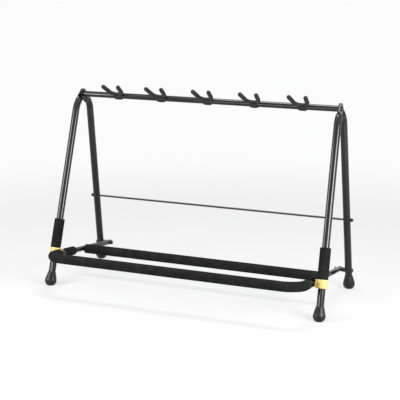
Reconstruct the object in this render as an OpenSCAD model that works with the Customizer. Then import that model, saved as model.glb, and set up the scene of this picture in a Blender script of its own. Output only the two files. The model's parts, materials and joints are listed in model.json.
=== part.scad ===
/* [Stance] */
// Height of the top bar's axis above the floor
bar_h = 659; // [560:1:760]
// Length of the top bar tube
bar_len = 955; // [800:1:1100]
// Lean of the front legs from upright, in degrees
front_lean = 18.1; // [15:0.1:22]
// Lean of the rear legs from upright, in degrees
rear_lean = 8.6; // [7:0.1:12]
// Outward lean of each side frame, in degrees
splay = 1.2; // [0.4:0.1:2]

/* [Legs] */
// Outside diameter of the leg tube
leg_od = 25; // [22:0.1:28]
// Wall of the leg tube
leg_wall = 1.5; // [1:0.1:2.5]
// Centre line radius of the bend at the top of each leg
leg_bend_r = 55; // [45:1:65]
// Angle of the front legs' bend
front_bend = 32.5; // [30:0.1:42]
// Angle of the rear legs' bend
rear_bend = 40.8; // [38:0.1:50]
// Distance from the hinge bolt to the start of the bend
tab_run = 38.5; // [38:0.5:44]
// Width of the flattened tab
tab_w = 38; // [32:1:38]
// Thickness of the flattened tab
tab_t = 3.6; // [3:0.1:5]
// Length over which the tube is pressed flat
press_len = 12.5; // [10:0.5:13]

/* [Top hinge] */
// Shank diameter of the hinge bolts
hinge_bolt_d = 8; // [6:0.5:10]
// Head diameter of the hinge bolts
hinge_head_d = 15; // [12:0.5:18]
// Head height of the hinge bolts
hinge_head_h = 4.5; // [3:0.5:6]
// Outside diameter of the hinge washers
hinge_washer_d = 19; // [16:0.5:22]
// Thickness of the hinge washers
hinge_washer_t = 1.4; // [1:0.1:2]
// Length of the threaded insert in each bar end
insert_len = 30; // [25:1:40]
// Length of bolt that is screwed into the insert
thread_len = 20; // [15:1:24]
// Width across the corners of the hinge bolts' sockets
hinge_socket = 5; // [4:0.5:6]

/* [Bars] */
// Outside diameter of the top bar tube
bar_od = 21; // [18:0.1:24]
// Wall of the top bar tube
bar_wall = 1.5; // [1:0.1:2.5]
// Diameter of the back rod
rod_d = 7; // [5:0.1:9]
// Height of the back rod where it crosses the rear legs
rod_h = 258; // [235:1:300]
// Diameter of the dome caps on the back rod
rod_cap_d = 12; // [10:0.5:14]
// Length of the dome caps on the back rod
rod_cap_len = 11; // [9:0.5:14]
// Length of rod inside each dome cap
rod_in_cap = 7; // [5:0.5:8]

/* [Feet] */
// Largest diameter of the rubber feet
foot_d = 42; // [38:0.5:46]
// Height of the feet along the leg
foot_h = 48; // [42:1:54]
// Height of the widest part of the feet along the leg
foot_bulb_h = 17; // [15:0.5:18]
// Rubber below the end of the leg tube
foot_sole = 12; // [8:0.5:14]
// Slope of the feet's upper part, in degrees
foot_taper = 14; // [10:0.5:16]

/* [Base] */
// Height of the base pivot on the rear legs
pivot_h = 68.3; // [60:0.1:75]
// Rise of the base towards the front, in degrees
base_tilt = 7.9; // [6:0.1:9]
// Outside diameter of the base tube
base_od = 19; // [17:0.1:21]
// Wall of the base tube
base_wall = 1.5; // [1:0.1:2.5]
// Distance from the pivot to the front bar's axis
base_reach = 468; // [440:1:500]
// Distance from the pivot to the rear bar's axis
rear_bar_reach = 200; // [195:1:225]
// Length of the arms behind the pivot
arm_tail = 12; // [11.5:0.5:20]
// Centre line radius of the front corners
corner_r = 65; // [50:1:75]
// Length of the spacers between legs and arms, on the pivot axis
spacer_len = 13; // [12.5:0.1:15]
// Outside diameter of the pivot spacers
spacer_d = 16; // [13:0.5:18]
// Shank diameter of the pivot bolts
pivot_bolt_d = 8; // [6:0.5:9]
// Head diameter of the pivot bolts
pivot_head_d = 15; // [12:0.5:18]
// Head height of the pivot bolts
pivot_head_h = 5; // [3:0.5:7]
// Width across the corners of the pivot bolts' sockets
pivot_socket = 5; // [4:0.5:6]
// Length of pivot bolt that shows past its nut
bolt_tip = 1; // [0.5:0.5:3]
// Width across flats of the pivot nuts
nut_flats = 13; // [11:0.5:15]
// Height of the pivot nuts
nut_h = 6; // [4:0.5:8]
// Thickness of the end plugs' caps
plug_cap_t = 2; // [1.5:0.5:4]
// Length of the end plugs inside the tube
plug_len = 6; // [4:0.5:6.5]

/* [Foam] */
// Outside diameter of the foam on the front and rear bars
bar_foam_od = 34; // [29:0.1:34.5]
// Length of arm that the front foam covers, from the front bar's axis
foam_return = 92; // [78:1:100]
// Outside diameter of the arm sleeves
arm_sleeve_od = 31.8; // [24:0.1:32.2]
// Length of the arm sleeves
arm_sleeve_len = 59; // [45:1:80]
// Distance from the rest stud to the arm sleeve
arm_sleeve_gap = 6; // [5:0.5:36]
// Outside diameter of the front leg sleeves
leg_sleeve_od = 36.6; // [31:0.1:38]
// Length of the front leg sleeves
leg_sleeve_len = 104; // [80:1:130]

/* [Stop collars] */
// Outside diameter of the stop collars
collar_od = 36; // [34:0.5:44]
// Height of the stop collars along the leg
collar_h = 29; // [24:0.5:34]
// Reach of the rest block from the leg's axis
rest_reach = 22.7; // [22:0.1:22.9]
// Width of the rest block along the arm
rest_w = 18; // [15:0.5:22]
// Diameter of the rest studs on the arms
stud_d = 9; // [7:0.5:10]
// Shank diameter of the rest studs
stud_shank_d = 6; // [5:0.5:6.5]
// Height of the rest studs' inner heads
stud_head_h = 2.5; // [2:0.5:4]

/* [Yokes] */
// Spacing of the yokes along the top bar
yoke_pitch = 172.5; // [165:0.5:185]
// Shift of the row of yokes from the middle of the bar
yoke_shift = 8; // [-10:1:10]
// Offset of the second yoke from its place in the row
yoke_2_nudge = -5; // [-10:1:10]
// Width of each yoke's hub along the bar
hub_w = 30; // [26:0.5:40]
// Wall of the hub around the bar
hub_wall = 4.2; // [4:0.1:6]
// Width of the slot that lets the hub snap on the bar
hub_slot = 14; // [10:0.5:16]
// Upward tilt of the fork, in degrees
fork_tilt = 31; // [20:1:40]
// Half the distance between the prongs' axes
prong_half = 29; // [27:0.5:31]
// Distance from the bar's axis to the prongs' tips
prong_reach = 82; // [76:1:90]
// Diameter of the moulded arms of the fork
fork_arm_d = 13.5; // [11:0.5:14]
// Diameter of the pins inside the prong pads
prong_pin_d = 8; // [6:0.5:9]
// Diameter of the rubber prong pads
prong_pad_d = 15; // [14.5:0.5:17]
// Radius of the fork's bends
fork_bend_r = 20; // [16:1:24]
// Angle at which the fork's arms leave the hub
fork_spread = 50; // [45:1:55]
// Outward lean of the prongs, in degrees
prong_flare = 7; // [2:1:10]

/* [Clearances] */
// Radial play of bolts, rods and hubs in their holes
run_play = 0.05; // [0.03:0.01:0.1]
// Radial room between a foam or rubber sleeve and its tube
sleeve_play = 0.15; // [0.1:0.05:0.3]
// Gap between faces that meet without being joined
face_gap = 0.3; // [0.2:0.05:0.5]
// Gap at a welded joint
weld_gap = 0.05; // [0.03:0.01:0.1]

/* [Hidden] */
$fn = 64;
// Overshoot of every cutting shape
cut = 1;
// How much slimmer a tube or rod is where it is bent, and how far a bend runs into the straights
bend_draw = 0.45;
bend_lap = 0.2;
// Sides of a nut
nut_sides = 6;
YOKES = 5;

LEFT = -1;
RIGHT = 1;
FRONT = -1;
REAR = 1;

// Planes of the legs along the top hinge, from the rear leg's middle plane
leg_pitch = tab_t + hinge_washer_t + 2 * run_play;
// Tilted washers keep clear of the square bar end
bar_end_gap = hinge_washer_d / 2 * tan(splay) + face_gap;
rear_x = bar_len / 2 + bar_end_gap + hinge_washer_t + run_play + tab_t / 2;

// Leg paths in a side frame: y runs back and z runs up from the hinge bolt
function lean_of(f) = f == FRONT ? front_lean : rear_lean;
function bend_of(f) = f == FRONT ? front_bend : rear_bend;
function leg_dir(f, a) = [f * sin(a), -cos(a)];
function bend_top(f) = tab_run * leg_dir(f, lean_of(f) + bend_of(f));
function bend_mid(f) =
    let (a = lean_of(f) + bend_of(f))
    bend_top(f) - leg_bend_r * [f * cos(a), sin(a)];
function bend_low(f) = bend_mid(f) + leg_bend_r * [f * cos(lean_of(f)), sin(lean_of(f))];
floor_z = -bar_h / cos(splay);
function leg_run(f) = (bend_low(f)[1] - floor_z) / cos(lean_of(f));
function leg_toe(f) = bend_low(f) + leg_run(f) * leg_dir(f, lean_of(f));
// Point on a leg's axis at a distance from the floor along the axis
function leg_at(f, t) = leg_toe(f) - t * leg_dir(f, lean_of(f));
function axis_dist(f, z) = z / cos(splay) / cos(lean_of(f));
function leg_x(z) = rear_x + (bar_h - z) * tan(splay);

// Places that follow from the stance, measured from the top bar's axis
pivot_back = leg_at(REAR, axis_dist(REAR, pivot_h))[0];
rod_back = leg_at(REAR, axis_dist(REAR, rod_h))[0];
toe_front = leg_toe(FRONT)[0];
toe_rear = leg_toe(REAR)[0];
front_slope = tan(front_lean) / cos(splay);
stud_v = (pivot_back - toe_front - pivot_h * front_slope)
    / (cos(base_tilt) + sin(base_tilt) * front_slope);
stud_h = pivot_h + stud_v * sin(base_tilt);
stud_t = axis_dist(FRONT, stud_h);

// The frame's origin lies under the middle of the object's box
most_front = pivot_back - base_reach * cos(base_tilt) - bar_foam_od / 2;
plug_back = pivot_back + (arm_tail + plug_cap_t) * cos(base_tilt) + base_od / 2 * sin(base_tilt);
foot_back = toe_rear - foot_bulb_h * sin(rear_lean) + foot_d / 2;
most_back = max(plug_back, foot_back);
bar_y = -(most_front + most_back) / 2;
pivot_y = bar_y + pivot_back;
rod_y = bar_y + rod_back;

// Places along the bars
pivot_leg_x = leg_x(pivot_h);
rod_leg_x = leg_x(rod_h);
arm_x = pivot_leg_x - leg_od / 2 - spacer_len - base_od / 2;
front_leg_x = leg_x(stud_h) + leg_pitch;
// The studs end short of the foam on the front legs, which is nearest at its upper end
sleeve_top_h = stud_h + (collar_h / 2 + leg_sleeve_len) * cos(front_lean);
stud_tip_x = leg_x(sleeve_top_h) + leg_pitch - leg_sleeve_od / 2 - 2 * face_gap;
leg_bore = leg_od - 2 * leg_wall;
bar_bore = bar_od - 2 * bar_wall;
base_bore = base_od - 2 * base_wall;

foam_black = [0.13, 0.13, 0.14];
steel_black = [0.10, 0.10, 0.11];
rubber_grey = [0.22, 0.22, 0.23];
zinc = [0.62, 0.62, 0.64];
nylon = [0.85, 0.85, 0.82];
collar_yellow = [0.90, 0.79, 0.38];

// Echoed places for the joints and mounts
echo(bar_y = bar_y, pivot_y = pivot_y, hinge_x = rear_x + leg_pitch, arm_x = arm_x);
echo(toe_front = bar_y + toe_front, toe_rear = bar_y + toe_rear, stud_h = stud_h, stud_v = stud_v);
echo(front_leg_x = front_leg_x, stud_tip_x = stud_tip_x, sleeve_top_h = sleeve_top_h);

module on_side(s) {
    if (s == LEFT)
        mirror([1, 0, 0])
            children();
    else
        children();
}

// A right-hand side frame with its hinge bolt along x
module side_frame(s) {
    on_side(s)
        translate([rear_x, bar_y, bar_h])
            rotate([0, -splay, 0])
                children();
}

// Turns a drawing in the xy plane into the side frame's yz plane
module in_side_plane() {
    rotate([90, 0, 90])
        children();
}

// Cylinder between two points of a plane
module run(p, q, d) {
    v = q - p;
    translate([p[0], p[1], 0])
        rotate([0, 90, atan2(v[1], v[0])])
            cylinder(h = norm(v), d = d);
}

// Part of a ring in a plane, from angle a over angle sweep
module arc(c, r, a, sweep, d) {
    translate([c[0], c[1], 0])
        rotate([0, 0, a])
            rotate_extrude(angle = sweep)
                translate([r, 0])
                    circle(d = d);
}

module ring(od, id, h) {
    difference() {
        cylinder(h = h, d = od);
        translate([0, 0, -cut])
            cylinder(h = h + 2 * cut, d = id);
    }
}

// Tube between two points of a plane
module tube_run(p, q, od, id) {
    v = q - p;
    translate([p[0], p[1], 0])
        rotate([0, 90, atan2(v[1], v[0])])
            ring(od, id, norm(v));
}

// Bent tube in a plane, from angle a over angle sweep
module tube_arc(c, r, a, sweep, od, id) {
    lap = bend_lap / r * 180 / PI;
    translate([c[0], c[1], 0])
        rotate([0, 0, a - lap])
            rotate_extrude(angle = sweep + 2 * lap)
                translate([r, 0])
                    difference() {
                        circle(d = od - bend_draw);
                        circle(d = id + bend_draw);
                    }
}

// Cylinder along x that starts at x0
module x_rod(x0, x1, d) {
    translate([x0, 0, 0])
        rotate([0, 90, 0])
            cylinder(h = x1 - x0, d = d);
}

// Frame of a leg's axis: z runs up the leg from distance t above the floor
module leg_axis(s, f, t) {
    p = leg_at(f, t);
    side_frame(s)
        translate([f == FRONT ? leg_pitch : 0, p[0], p[1]])
            rotate([f * lean_of(f), 0, 0])
                children();
}

// Pressed end and tab of a leg, drawn along its own direction
module leg_tab(f) {
    a = lean_of(f) + bend_of(f);
    flat = tab_run - press_len;
    in_side_plane()
        rotate([0, 0, atan2(-cos(a), f * sin(a))]) {
            difference() {
                union() {
                    translate([0, 0, -tab_t / 2])
                        cylinder(h = tab_t, d = tab_w);
                    translate([0, -tab_w / 2, -tab_t / 2])
                        cube([flat, tab_w, tab_t]);
                }
                translate([0, 0, -tab_t])
                    cylinder(h = 2 * tab_t, d = hinge_bolt_d + 2 * run_play);
            }
            intersection() {
                translate([flat, 0, 0])
                    rotate([0, 90, 0])
                        cylinder(h = press_len, d1 = tab_w, d2 = leg_od);
                rotate([90, 0, 0])
                    linear_extrude(2 * tab_w, center = true)
                        polygon([
                            [flat - cut, -tab_t / 2], [tab_run + cut, -leg_od / 2 - cut],
                            [tab_run + cut, leg_od / 2 + cut], [flat - cut, tab_t / 2]
                        ]);
            }
        }
}

// Leg tube from the foot to the hinge
module leg_tube(f) {
    start = f == REAR ? lean_of(f) : 180 - lean_of(f) - bend_of(f);
    in_side_plane() {
        tube_run(leg_at(f, foot_sole), bend_low(f), leg_od, leg_bore);
        tube_arc(bend_mid(f), leg_bend_r, start, bend_of(f), leg_od, leg_bore);
    }
    leg_tab(f);
}

module pivot_line() {
    translate([0, pivot_y, pivot_h])
        children();
}

module rod_line() {
    translate([0, rod_y, rod_h])
        children();
}

module rear_leg(s) {
    color(steel_black)
        difference() {
            side_frame(s)
                leg_tube(REAR);
            on_side(s) {
                pivot_line()
                    x_rod(pivot_leg_x - leg_od, pivot_leg_x + leg_od, pivot_bolt_d + 2 * run_play);
                rod_line()
                    x_rod(rod_leg_x - leg_od, rod_leg_x + leg_od, rod_d + 2 * run_play);
            }
        }
}

module front_leg(s) {
    color(steel_black)
        side_frame(s)
            translate([leg_pitch, 0, 0])
                leg_tube(FRONT);
}

// Rubber foot: a ball that runs into a cone around the leg, cut flat on the floor
module foot(s, f) {
    r = foot_d / 2;
    cone_z = foot_bulb_h + r * sin(foot_taper);
    cone_r = r * cos(foot_taper);
    rim_r = cone_r - (foot_h - cone_z) * tan(foot_taper);
    color(rubber_grey)
        difference() {
            leg_axis(s, f, 0)
                difference() {
                    union() {
                        translate([0, 0, foot_bulb_h])
                            sphere(d = foot_d);
                        translate([0, 0, cone_z])
                            cylinder(h = foot_h - cone_z, r1 = cone_r, r2 = rim_r);
                    }
                    translate([0, 0, foot_sole - face_gap])
                        cylinder(h = foot_h, d = leg_od + 2 * sleeve_play);
                }
            translate([-bar_len, -bar_len, -bar_len])
                cube([2 * bar_len, 2 * bar_len, bar_len]);
        }
}

module top_bar() {
    color(steel_black)
        translate([-bar_len / 2, bar_y, bar_h])
            rotate([0, 90, 0])
                ring(bar_od, bar_bore, bar_len);
}

// Threaded plugs in the bar ends, bored along the hinge bolts
module bar_inserts() {
    color(zinc)
        for (s = [LEFT, RIGHT])
            difference() {
                on_side(s)
                    translate([0, bar_y, bar_h])
                        x_rod(bar_len / 2 - insert_len, bar_len / 2, bar_bore - 2 * run_play);
                side_frame(s)
                    x_rod(-2 * insert_len, insert_len, hinge_bolt_d + 2 * run_play);
            }
}

module hinge_bolt(s) {
    head_x = leg_pitch + tab_t / 2 + hinge_washer_t + 2 * run_play;
    tip_x = bar_len / 2 - rear_x - thread_len;
    color(zinc)
        side_frame(s) {
            x_rod(tip_x, head_x, hinge_bolt_d);
            button_head(head_x, hinge_head_d, hinge_head_h, hinge_socket);
        }
}

// Domed bolt head on the x axis with a six-sided socket
module button_head(x, d, h, socket) {
    dome_r = (d * d / 4 + h * h) / (2 * h);
    translate([x, 0, 0])
        rotate([0, 90, 0])
            difference() {
                intersection() {
                    cylinder(h = h, d = d);
                    translate([0, 0, h - dome_r])
                        sphere(r = dome_r);
                }
                translate([0, 0, h / 2])
                    cylinder(h = h, d = socket, $fn = nut_sides);
            }
}

module hinge_washers() {
    bore = hinge_bolt_d + 2 * run_play;
    tab_gap = tab_t / 2 + run_play;
    color(nylon)
        for (s = [LEFT, RIGHT])
            side_frame(s)
                for (x = [-tab_gap - hinge_washer_t, tab_gap, leg_pitch + tab_gap])
                    translate([x, 0, 0])
                        rotate([0, 90, 0])
                            ring(hinge_washer_d, bore, hinge_washer_t);
}

rod_end_x = rod_leg_x + leg_od / 2 + face_gap + rod_in_cap;

module back_rod() {
    color(steel_black)
        rod_line()
            x_rod(-rod_end_x, rod_end_x, rod_d);
}

// Dome caps that hold the rod outside the rear legs
module rod_caps() {
    r = rod_cap_d / 2;
    seat = rod_leg_x + leg_od / 2 + face_gap;
    color(rubber_grey)
        for (s = [LEFT, RIGHT])
            on_side(s)
                rod_line()
                    difference() {
                        union() {
                            x_rod(seat, seat + rod_cap_len - r, rod_cap_d);
                            translate([seat + rod_cap_len - r, 0, 0])
                                sphere(r = r);
                        }
                        x_rod(seat - rod_cap_len, rod_end_x + run_play, rod_d + 2 * run_play);
                    }
}

pivot_nut_x = arm_x - base_od / 2 - face_gap;

// Bolts that carry the base on the rear legs
module pivot_bolts() {
    head_x = pivot_leg_x + leg_od / 2 + face_gap;
    color(zinc)
        for (s = [LEFT, RIGHT])
            on_side(s)
                pivot_line() {
                    x_rod(pivot_nut_x - nut_h - bolt_tip, head_x, pivot_bolt_d);
                    button_head(head_x, pivot_head_d, pivot_head_h, pivot_socket);
                }
}

// Spacers with one end hollowed to fit the leg
module pivot_spacers() {
    color(rubber_grey)
        for (s = [LEFT, RIGHT])
            difference() {
                on_side(s)
                    pivot_line()
                        difference() {
                            x_rod(arm_x + base_od / 2 + face_gap, pivot_leg_x, spacer_d);
                            x_rod(arm_x, pivot_leg_x + cut, pivot_bolt_d + 2 * run_play);
                        }
                side_frame(s)
                    in_side_plane()
                        run(leg_toe(REAR), bend_low(REAR), leg_od + 2 * weld_gap);
            }
}

module pivot_nuts() {
    corner_d = nut_flats / cos(180 / nut_sides);
    color(zinc)
        for (s = [LEFT, RIGHT])
            on_side(s)
                pivot_line()
                    translate([pivot_nut_x - nut_h, 0, 0])
                        rotate([0, 90, 0])
                            difference() {
                                cylinder(h = nut_h, d = corner_d, $fn = nut_sides);
                                translate([0, 0, -cut])
                                    cylinder(h = nut_h + 2 * cut, d = pivot_bolt_d + 2 * run_play);
                            }
}

// Foam on the front legs above the collars
module leg_sleeve(s) {
    color(foam_black)
        leg_axis(s, FRONT, stud_t + collar_h / 2 + face_gap)
            ring(leg_sleeve_od, leg_od + 2 * sleeve_play, leg_sleeve_len);
}

// Collar with a block on its inner side, where the arm's stud sits on a ledge
module stop_collar(s) {
    tip_reach = front_leg_x - stud_tip_x - face_gap;
    ledge = stud_d / 2 + face_gap;
    color(collar_yellow)
        leg_axis(s, FRONT, stud_t)
            difference() {
                union() {
                    translate([0, 0, -collar_h / 2])
                        cylinder(h = collar_h, d = collar_od);
                    translate([-rest_reach, -rest_w / 2, -collar_h / 2])
                        cube([rest_reach, rest_w, collar_h]);
                }
                translate([0, 0, -collar_h])
                    cylinder(h = 2 * collar_h, d = leg_od + 2 * run_play);
                translate([-collar_od, -collar_od, -ledge])
                    cube([collar_od - tip_reach, collar_od + ledge, collar_h]);
            }
}

// Frame of the base: x across, y back from the pivot, z square to the base
module base_plane() {
    translate([0, pivot_y, pivot_h])
        rotate([-base_tilt, 0, 0])
            children();
}

// Straight arm of the base from its rear end to the corner
module arm_run(s, d) {
    run([s * arm_x, arm_tail], [s * arm_x, corner_r - base_reach], d);
}

// Front bar, corners and arms back to y, as a tube
module front_tube(od, id, y) {
    corner_x = arm_x - corner_r;
    corner_y = corner_r - base_reach;
    for (s = [LEFT, RIGHT])
        tube_run([0, -base_reach], [s * corner_x, -base_reach], od, id);
    tube_arc([corner_x, corner_y], corner_r, 270, 90, od, id);
    tube_arc([-corner_x, corner_y], corner_r, 180, 90, od, id);
    for (s = [LEFT, RIGHT])
        tube_run([s * arm_x, y], [s * arm_x, corner_y], od, id);
}

// One tube bent into a U, drilled for the pivots and the studs
module base_frame() {
    color(steel_black)
        base_plane()
            difference() {
                front_tube(base_od, base_bore, arm_tail);
                for (s = [LEFT, RIGHT])
                    translate([s * arm_x - base_od, 0, 0])
                        x_rod(0, 2 * base_od, pivot_bolt_d + 2 * run_play);
                for (s = [LEFT, RIGHT])
                    translate([s * arm_x - base_od, -stud_v, 0])
                        x_rod(0, 2 * base_od, stud_shank_d + 2 * run_play);
            }
}

module base_rear_bar() {
    color(steel_black)
        base_plane()
            difference() {
                run([-arm_x, -rear_bar_reach], [arm_x, -rear_bar_reach], base_od);
                run([-arm_x - cut, -rear_bar_reach], [arm_x + cut, -rear_bar_reach], base_bore);
                for (s = [LEFT, RIGHT])
                    arm_run(s, base_od + 2 * weld_gap);
            }
}

module front_bar_foam() {
    color(foam_black)
        base_plane()
            front_tube(bar_foam_od, base_od + 2 * sleeve_play, foam_return - base_reach);
}

module rear_bar_foam() {
    half = arm_x - base_od / 2 - face_gap;
    color(foam_black)
        base_plane()
            difference() {
                run([-half, -rear_bar_reach], [half, -rear_bar_reach], bar_foam_od);
                run([-arm_x, -rear_bar_reach], [arm_x, -rear_bar_reach], base_od + 2 * sleeve_play);
            }
}

module arm_sleeve(s) {
    y0 = arm_sleeve_gap - stud_v;
    color(foam_black)
        base_plane()
            difference() {
                run([s * arm_x, y0], [s * arm_x, y0 + arm_sleeve_len], arm_sleeve_od);
                arm_run(s, base_od + 2 * sleeve_play);
            }
}

// Plugs that close the rear ends of the arms
module arm_plugs() {
    color(rubber_grey)
        base_plane()
            for (s = [LEFT, RIGHT]) {
                run([s * arm_x, arm_tail - plug_len], [s * arm_x, arm_tail], base_bore - 2 * run_play);
                run([s * arm_x, arm_tail], [s * arm_x, arm_tail + plug_cap_t], base_od);
            }
}

// Studs through the arms, which sit on the collars' ledges
module rest_studs() {
    seat = arm_x + base_od / 2 + run_play;
    inner = arm_x - base_od / 2 - run_play;
    color(zinc)
        base_plane()
            translate([0, -stud_v, 0])
                for (s = [LEFT, RIGHT])
                    on_side(s) {
                        x_rod(inner - stud_head_h, inner, stud_d);
                        x_rod(inner, seat, stud_shank_d);
                        x_rod(seat, stud_tip_x, stud_d);
                    }
}

function yoke_x(i) =
    (i - (YOKES + 1) / 2) * yoke_pitch + yoke_shift + (i == 2 ? yoke_2_nudge : 0);

// Frame of a yoke: x along the bar, y forward along the fork, z square to it
module yoke_frame(i) {
    translate([yoke_x(i), bar_y, bar_h])
        rotate([-fork_tilt, 0, 0])
            mirror([0, 1, 0])
                children();
}

hub_r = bar_od / 2 + hub_wall;
prong_tip = [prong_half, prong_reach - prong_pad_d / 2];
prong_dir = [sin(prong_flare), cos(prong_flare)];
// The fork's arms start inside the hub's wall, clear of each other, and then bend forward
slant_dir = [sin(fork_spread), cos(fork_spread)];
arm_start = [
    fork_arm_d / 2 * cos(fork_spread) + face_gap,
    hub_r - fork_arm_d / 2 * sin(fork_spread) - face_gap
];
slant_run = cross(prong_tip - arm_start, prong_dir) / cross(slant_dir, prong_dir);
fork_corner = arm_start + slant_run * slant_dir;
bend_len = fork_bend_r * tan((fork_spread - prong_flare) / 2);
bend_start = fork_corner - bend_len * slant_dir;
bend_end = fork_corner + bend_len * prong_dir;

// Snap-on hub with two curved arms and the pins for the pads
module yoke(i) {
    color(rubber_grey)
        yoke_frame(i)
            difference() {
                union() {
                    x_rod(-hub_w / 2, hub_w / 2, 2 * hub_r);
                    for (s = [LEFT, RIGHT])
                        on_side(s)
                            fork_arm();
                }
                x_rod(-hub_w, hub_w, bar_od + 2 * run_play);
                translate([-hub_w, -2 * hub_r, -hub_slot / 2])
                    cube([2 * hub_w, 2 * hub_r, hub_slot]);
            }
}

module fork_arm() {
    bend_c = bend_start + fork_bend_r * [-cos(fork_spread), sin(fork_spread)];
    lap = bend_lap / fork_bend_r * 180 / PI;
    turn = fork_spread - prong_flare;
    run(arm_start, bend_start, fork_arm_d);
    arc(bend_c, fork_bend_r, -fork_spread - lap, turn + lap, fork_arm_d - bend_draw);
    run(bend_end - bend_lap * prong_dir, prong_tip, prong_pin_d);
}

// Frame of a prong: z runs forward along its axis from the middle of its tip
module prong_frame() {
    translate([prong_tip[0], prong_tip[1], 0])
        rotate([-90, 0, -prong_flare])
            children();
}

// Rubber pads with round tips over the prongs' pins
module prong_pads(i) {
    pad_len = norm(prong_tip - bend_end) - run_play;
    color(foam_black)
        yoke_frame(i)
            for (s = [LEFT, RIGHT])
                on_side(s)
                    prong_frame()
                        difference() {
                            union() {
                                translate([0, 0, -pad_len])
                                    cylinder(h = pad_len, d = prong_pad_d);
                                sphere(d = prong_pad_d);
                            }
                            translate([0, 0, -pad_len - cut])
                                cylinder(h = pad_len + cut + run_play, d = prong_pin_d + 2 * run_play);
                        }
}

rear_leg(LEFT);  // rear_leg_left
rear_leg(RIGHT);  // rear_leg_right
foot(LEFT, REAR);  // rear_foot_left
foot(RIGHT, REAR);  // rear_foot_right
top_bar();
bar_inserts();
hinge_bolt(LEFT);  // hinge_bolt_left
hinge_bolt(RIGHT);  // hinge_bolt_right
hinge_washers();
back_rod();
rod_caps();
pivot_bolts();
pivot_spacers();
pivot_nuts();
front_leg(LEFT);  // front_leg_left
foot(LEFT, FRONT);  // front_foot_left
leg_sleeve(LEFT);  // leg_sleeve_left
stop_collar(LEFT);  // stop_collar_left
front_leg(RIGHT);  // front_leg_right
foot(RIGHT, FRONT);  // front_foot_right
leg_sleeve(RIGHT);  // leg_sleeve_right
stop_collar(RIGHT);  // stop_collar_right
base_frame();
base_rear_bar();
front_bar_foam();
rear_bar_foam();
arm_sleeve(LEFT);  // arm_sleeve_left
arm_sleeve(RIGHT);  // arm_sleeve_right
arm_plugs();
rest_studs();
yoke(1);  // yoke_1
yoke(2);  // yoke_2
yoke(3);  // yoke_3
yoke(4);  // yoke_4
yoke(5);  // yoke_5
prong_pads(1);  // prong_pads_1
prong_pads(2);  // prong_pads_2
prong_pads(3);  // prong_pads_3
prong_pads(4);  // prong_pads_4
prong_pads(5);  // prong_pads_5
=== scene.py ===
"""Looks of a folding floor rack for guitars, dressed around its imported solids.

Sizes are in metres, in the frame of the solids: X runs along the top bar, Y to the back and Z up.
"""

import json
import logging
import math
from dataclasses import dataclass
from enum import Enum
from typing import Sequence, Union

import bmesh
import bpy
import numpy as np
from bpy.types import Material, Mesh, Node, NodeSocket, NodeTree, Object
from mathutils import Matrix, Vector


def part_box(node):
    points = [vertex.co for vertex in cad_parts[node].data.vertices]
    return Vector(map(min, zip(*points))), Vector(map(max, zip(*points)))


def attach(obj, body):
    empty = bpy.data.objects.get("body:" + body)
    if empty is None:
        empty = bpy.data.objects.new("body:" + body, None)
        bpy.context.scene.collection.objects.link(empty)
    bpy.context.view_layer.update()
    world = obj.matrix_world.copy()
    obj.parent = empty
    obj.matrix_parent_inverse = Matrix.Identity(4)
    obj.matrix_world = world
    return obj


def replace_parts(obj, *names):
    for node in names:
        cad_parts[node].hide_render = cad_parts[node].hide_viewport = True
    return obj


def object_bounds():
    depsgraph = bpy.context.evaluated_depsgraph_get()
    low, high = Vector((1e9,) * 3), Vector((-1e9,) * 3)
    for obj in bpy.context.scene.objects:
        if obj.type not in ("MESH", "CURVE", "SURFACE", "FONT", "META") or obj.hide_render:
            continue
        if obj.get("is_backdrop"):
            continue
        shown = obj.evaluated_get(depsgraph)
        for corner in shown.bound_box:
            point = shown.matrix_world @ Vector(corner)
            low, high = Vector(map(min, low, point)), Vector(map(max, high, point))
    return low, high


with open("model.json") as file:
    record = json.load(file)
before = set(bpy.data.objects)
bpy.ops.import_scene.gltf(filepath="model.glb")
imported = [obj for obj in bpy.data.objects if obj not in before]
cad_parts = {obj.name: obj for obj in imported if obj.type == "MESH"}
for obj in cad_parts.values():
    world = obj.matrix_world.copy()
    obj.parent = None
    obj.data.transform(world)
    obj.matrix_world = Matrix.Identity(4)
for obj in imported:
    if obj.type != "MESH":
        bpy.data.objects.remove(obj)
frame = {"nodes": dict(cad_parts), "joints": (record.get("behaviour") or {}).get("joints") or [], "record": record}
SOLID_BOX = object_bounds()
LOG = logging.getLogger("rack")

Color = tuple[float, float, float, float]
Span = tuple[float, float]
Value = Union[float, int, bool, Sequence[float], NodeSocket, Material]
Feeds = dict[Union[str, int], Value]

WHITE: Color = (1.0, 1.0, 1.0, 1.0)
DULL_BLACK: Color = (0.022, 0.022, 0.023, 1.0)
DUST: Color = (0.30, 0.29, 0.28, 1.0)
LINT: Color = (0.32, 0.31, 0.30, 1.0)
RACK_MIDDLE = Vector((0.0, 0.05, 0.35))
YOKES = range(1, 6)
MERGE_DISTANCE = 1e-6
TINY = 1e-9
SMOOTH_ANGLE = math.radians(38)
SOFTEN_ANGLE = math.radians(40)


class Named(Enum):
    """Options whose names are also words in the names of nodes."""

    @property
    def word(self) -> str:
        """The option's name as the nodes spell it."""
        return self.name.lower()


class Side(Named):
    """The rack's two side frames, with the sign of their X."""

    LEFT = -1
    RIGHT = 1


class Stand(Named):
    """Front and rear legs, with the sign of their lean along Y."""

    FRONT = -1
    REAR = 1


def joint(name: str) -> dict:
    """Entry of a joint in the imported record."""
    return next(entry for entry in frame["joints"] if entry["name"] == name)


def box_middle(node: str) -> Vector:
    """Middle of a solid's box at rest."""
    low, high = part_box(node)
    return (low + high) / 2


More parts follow.
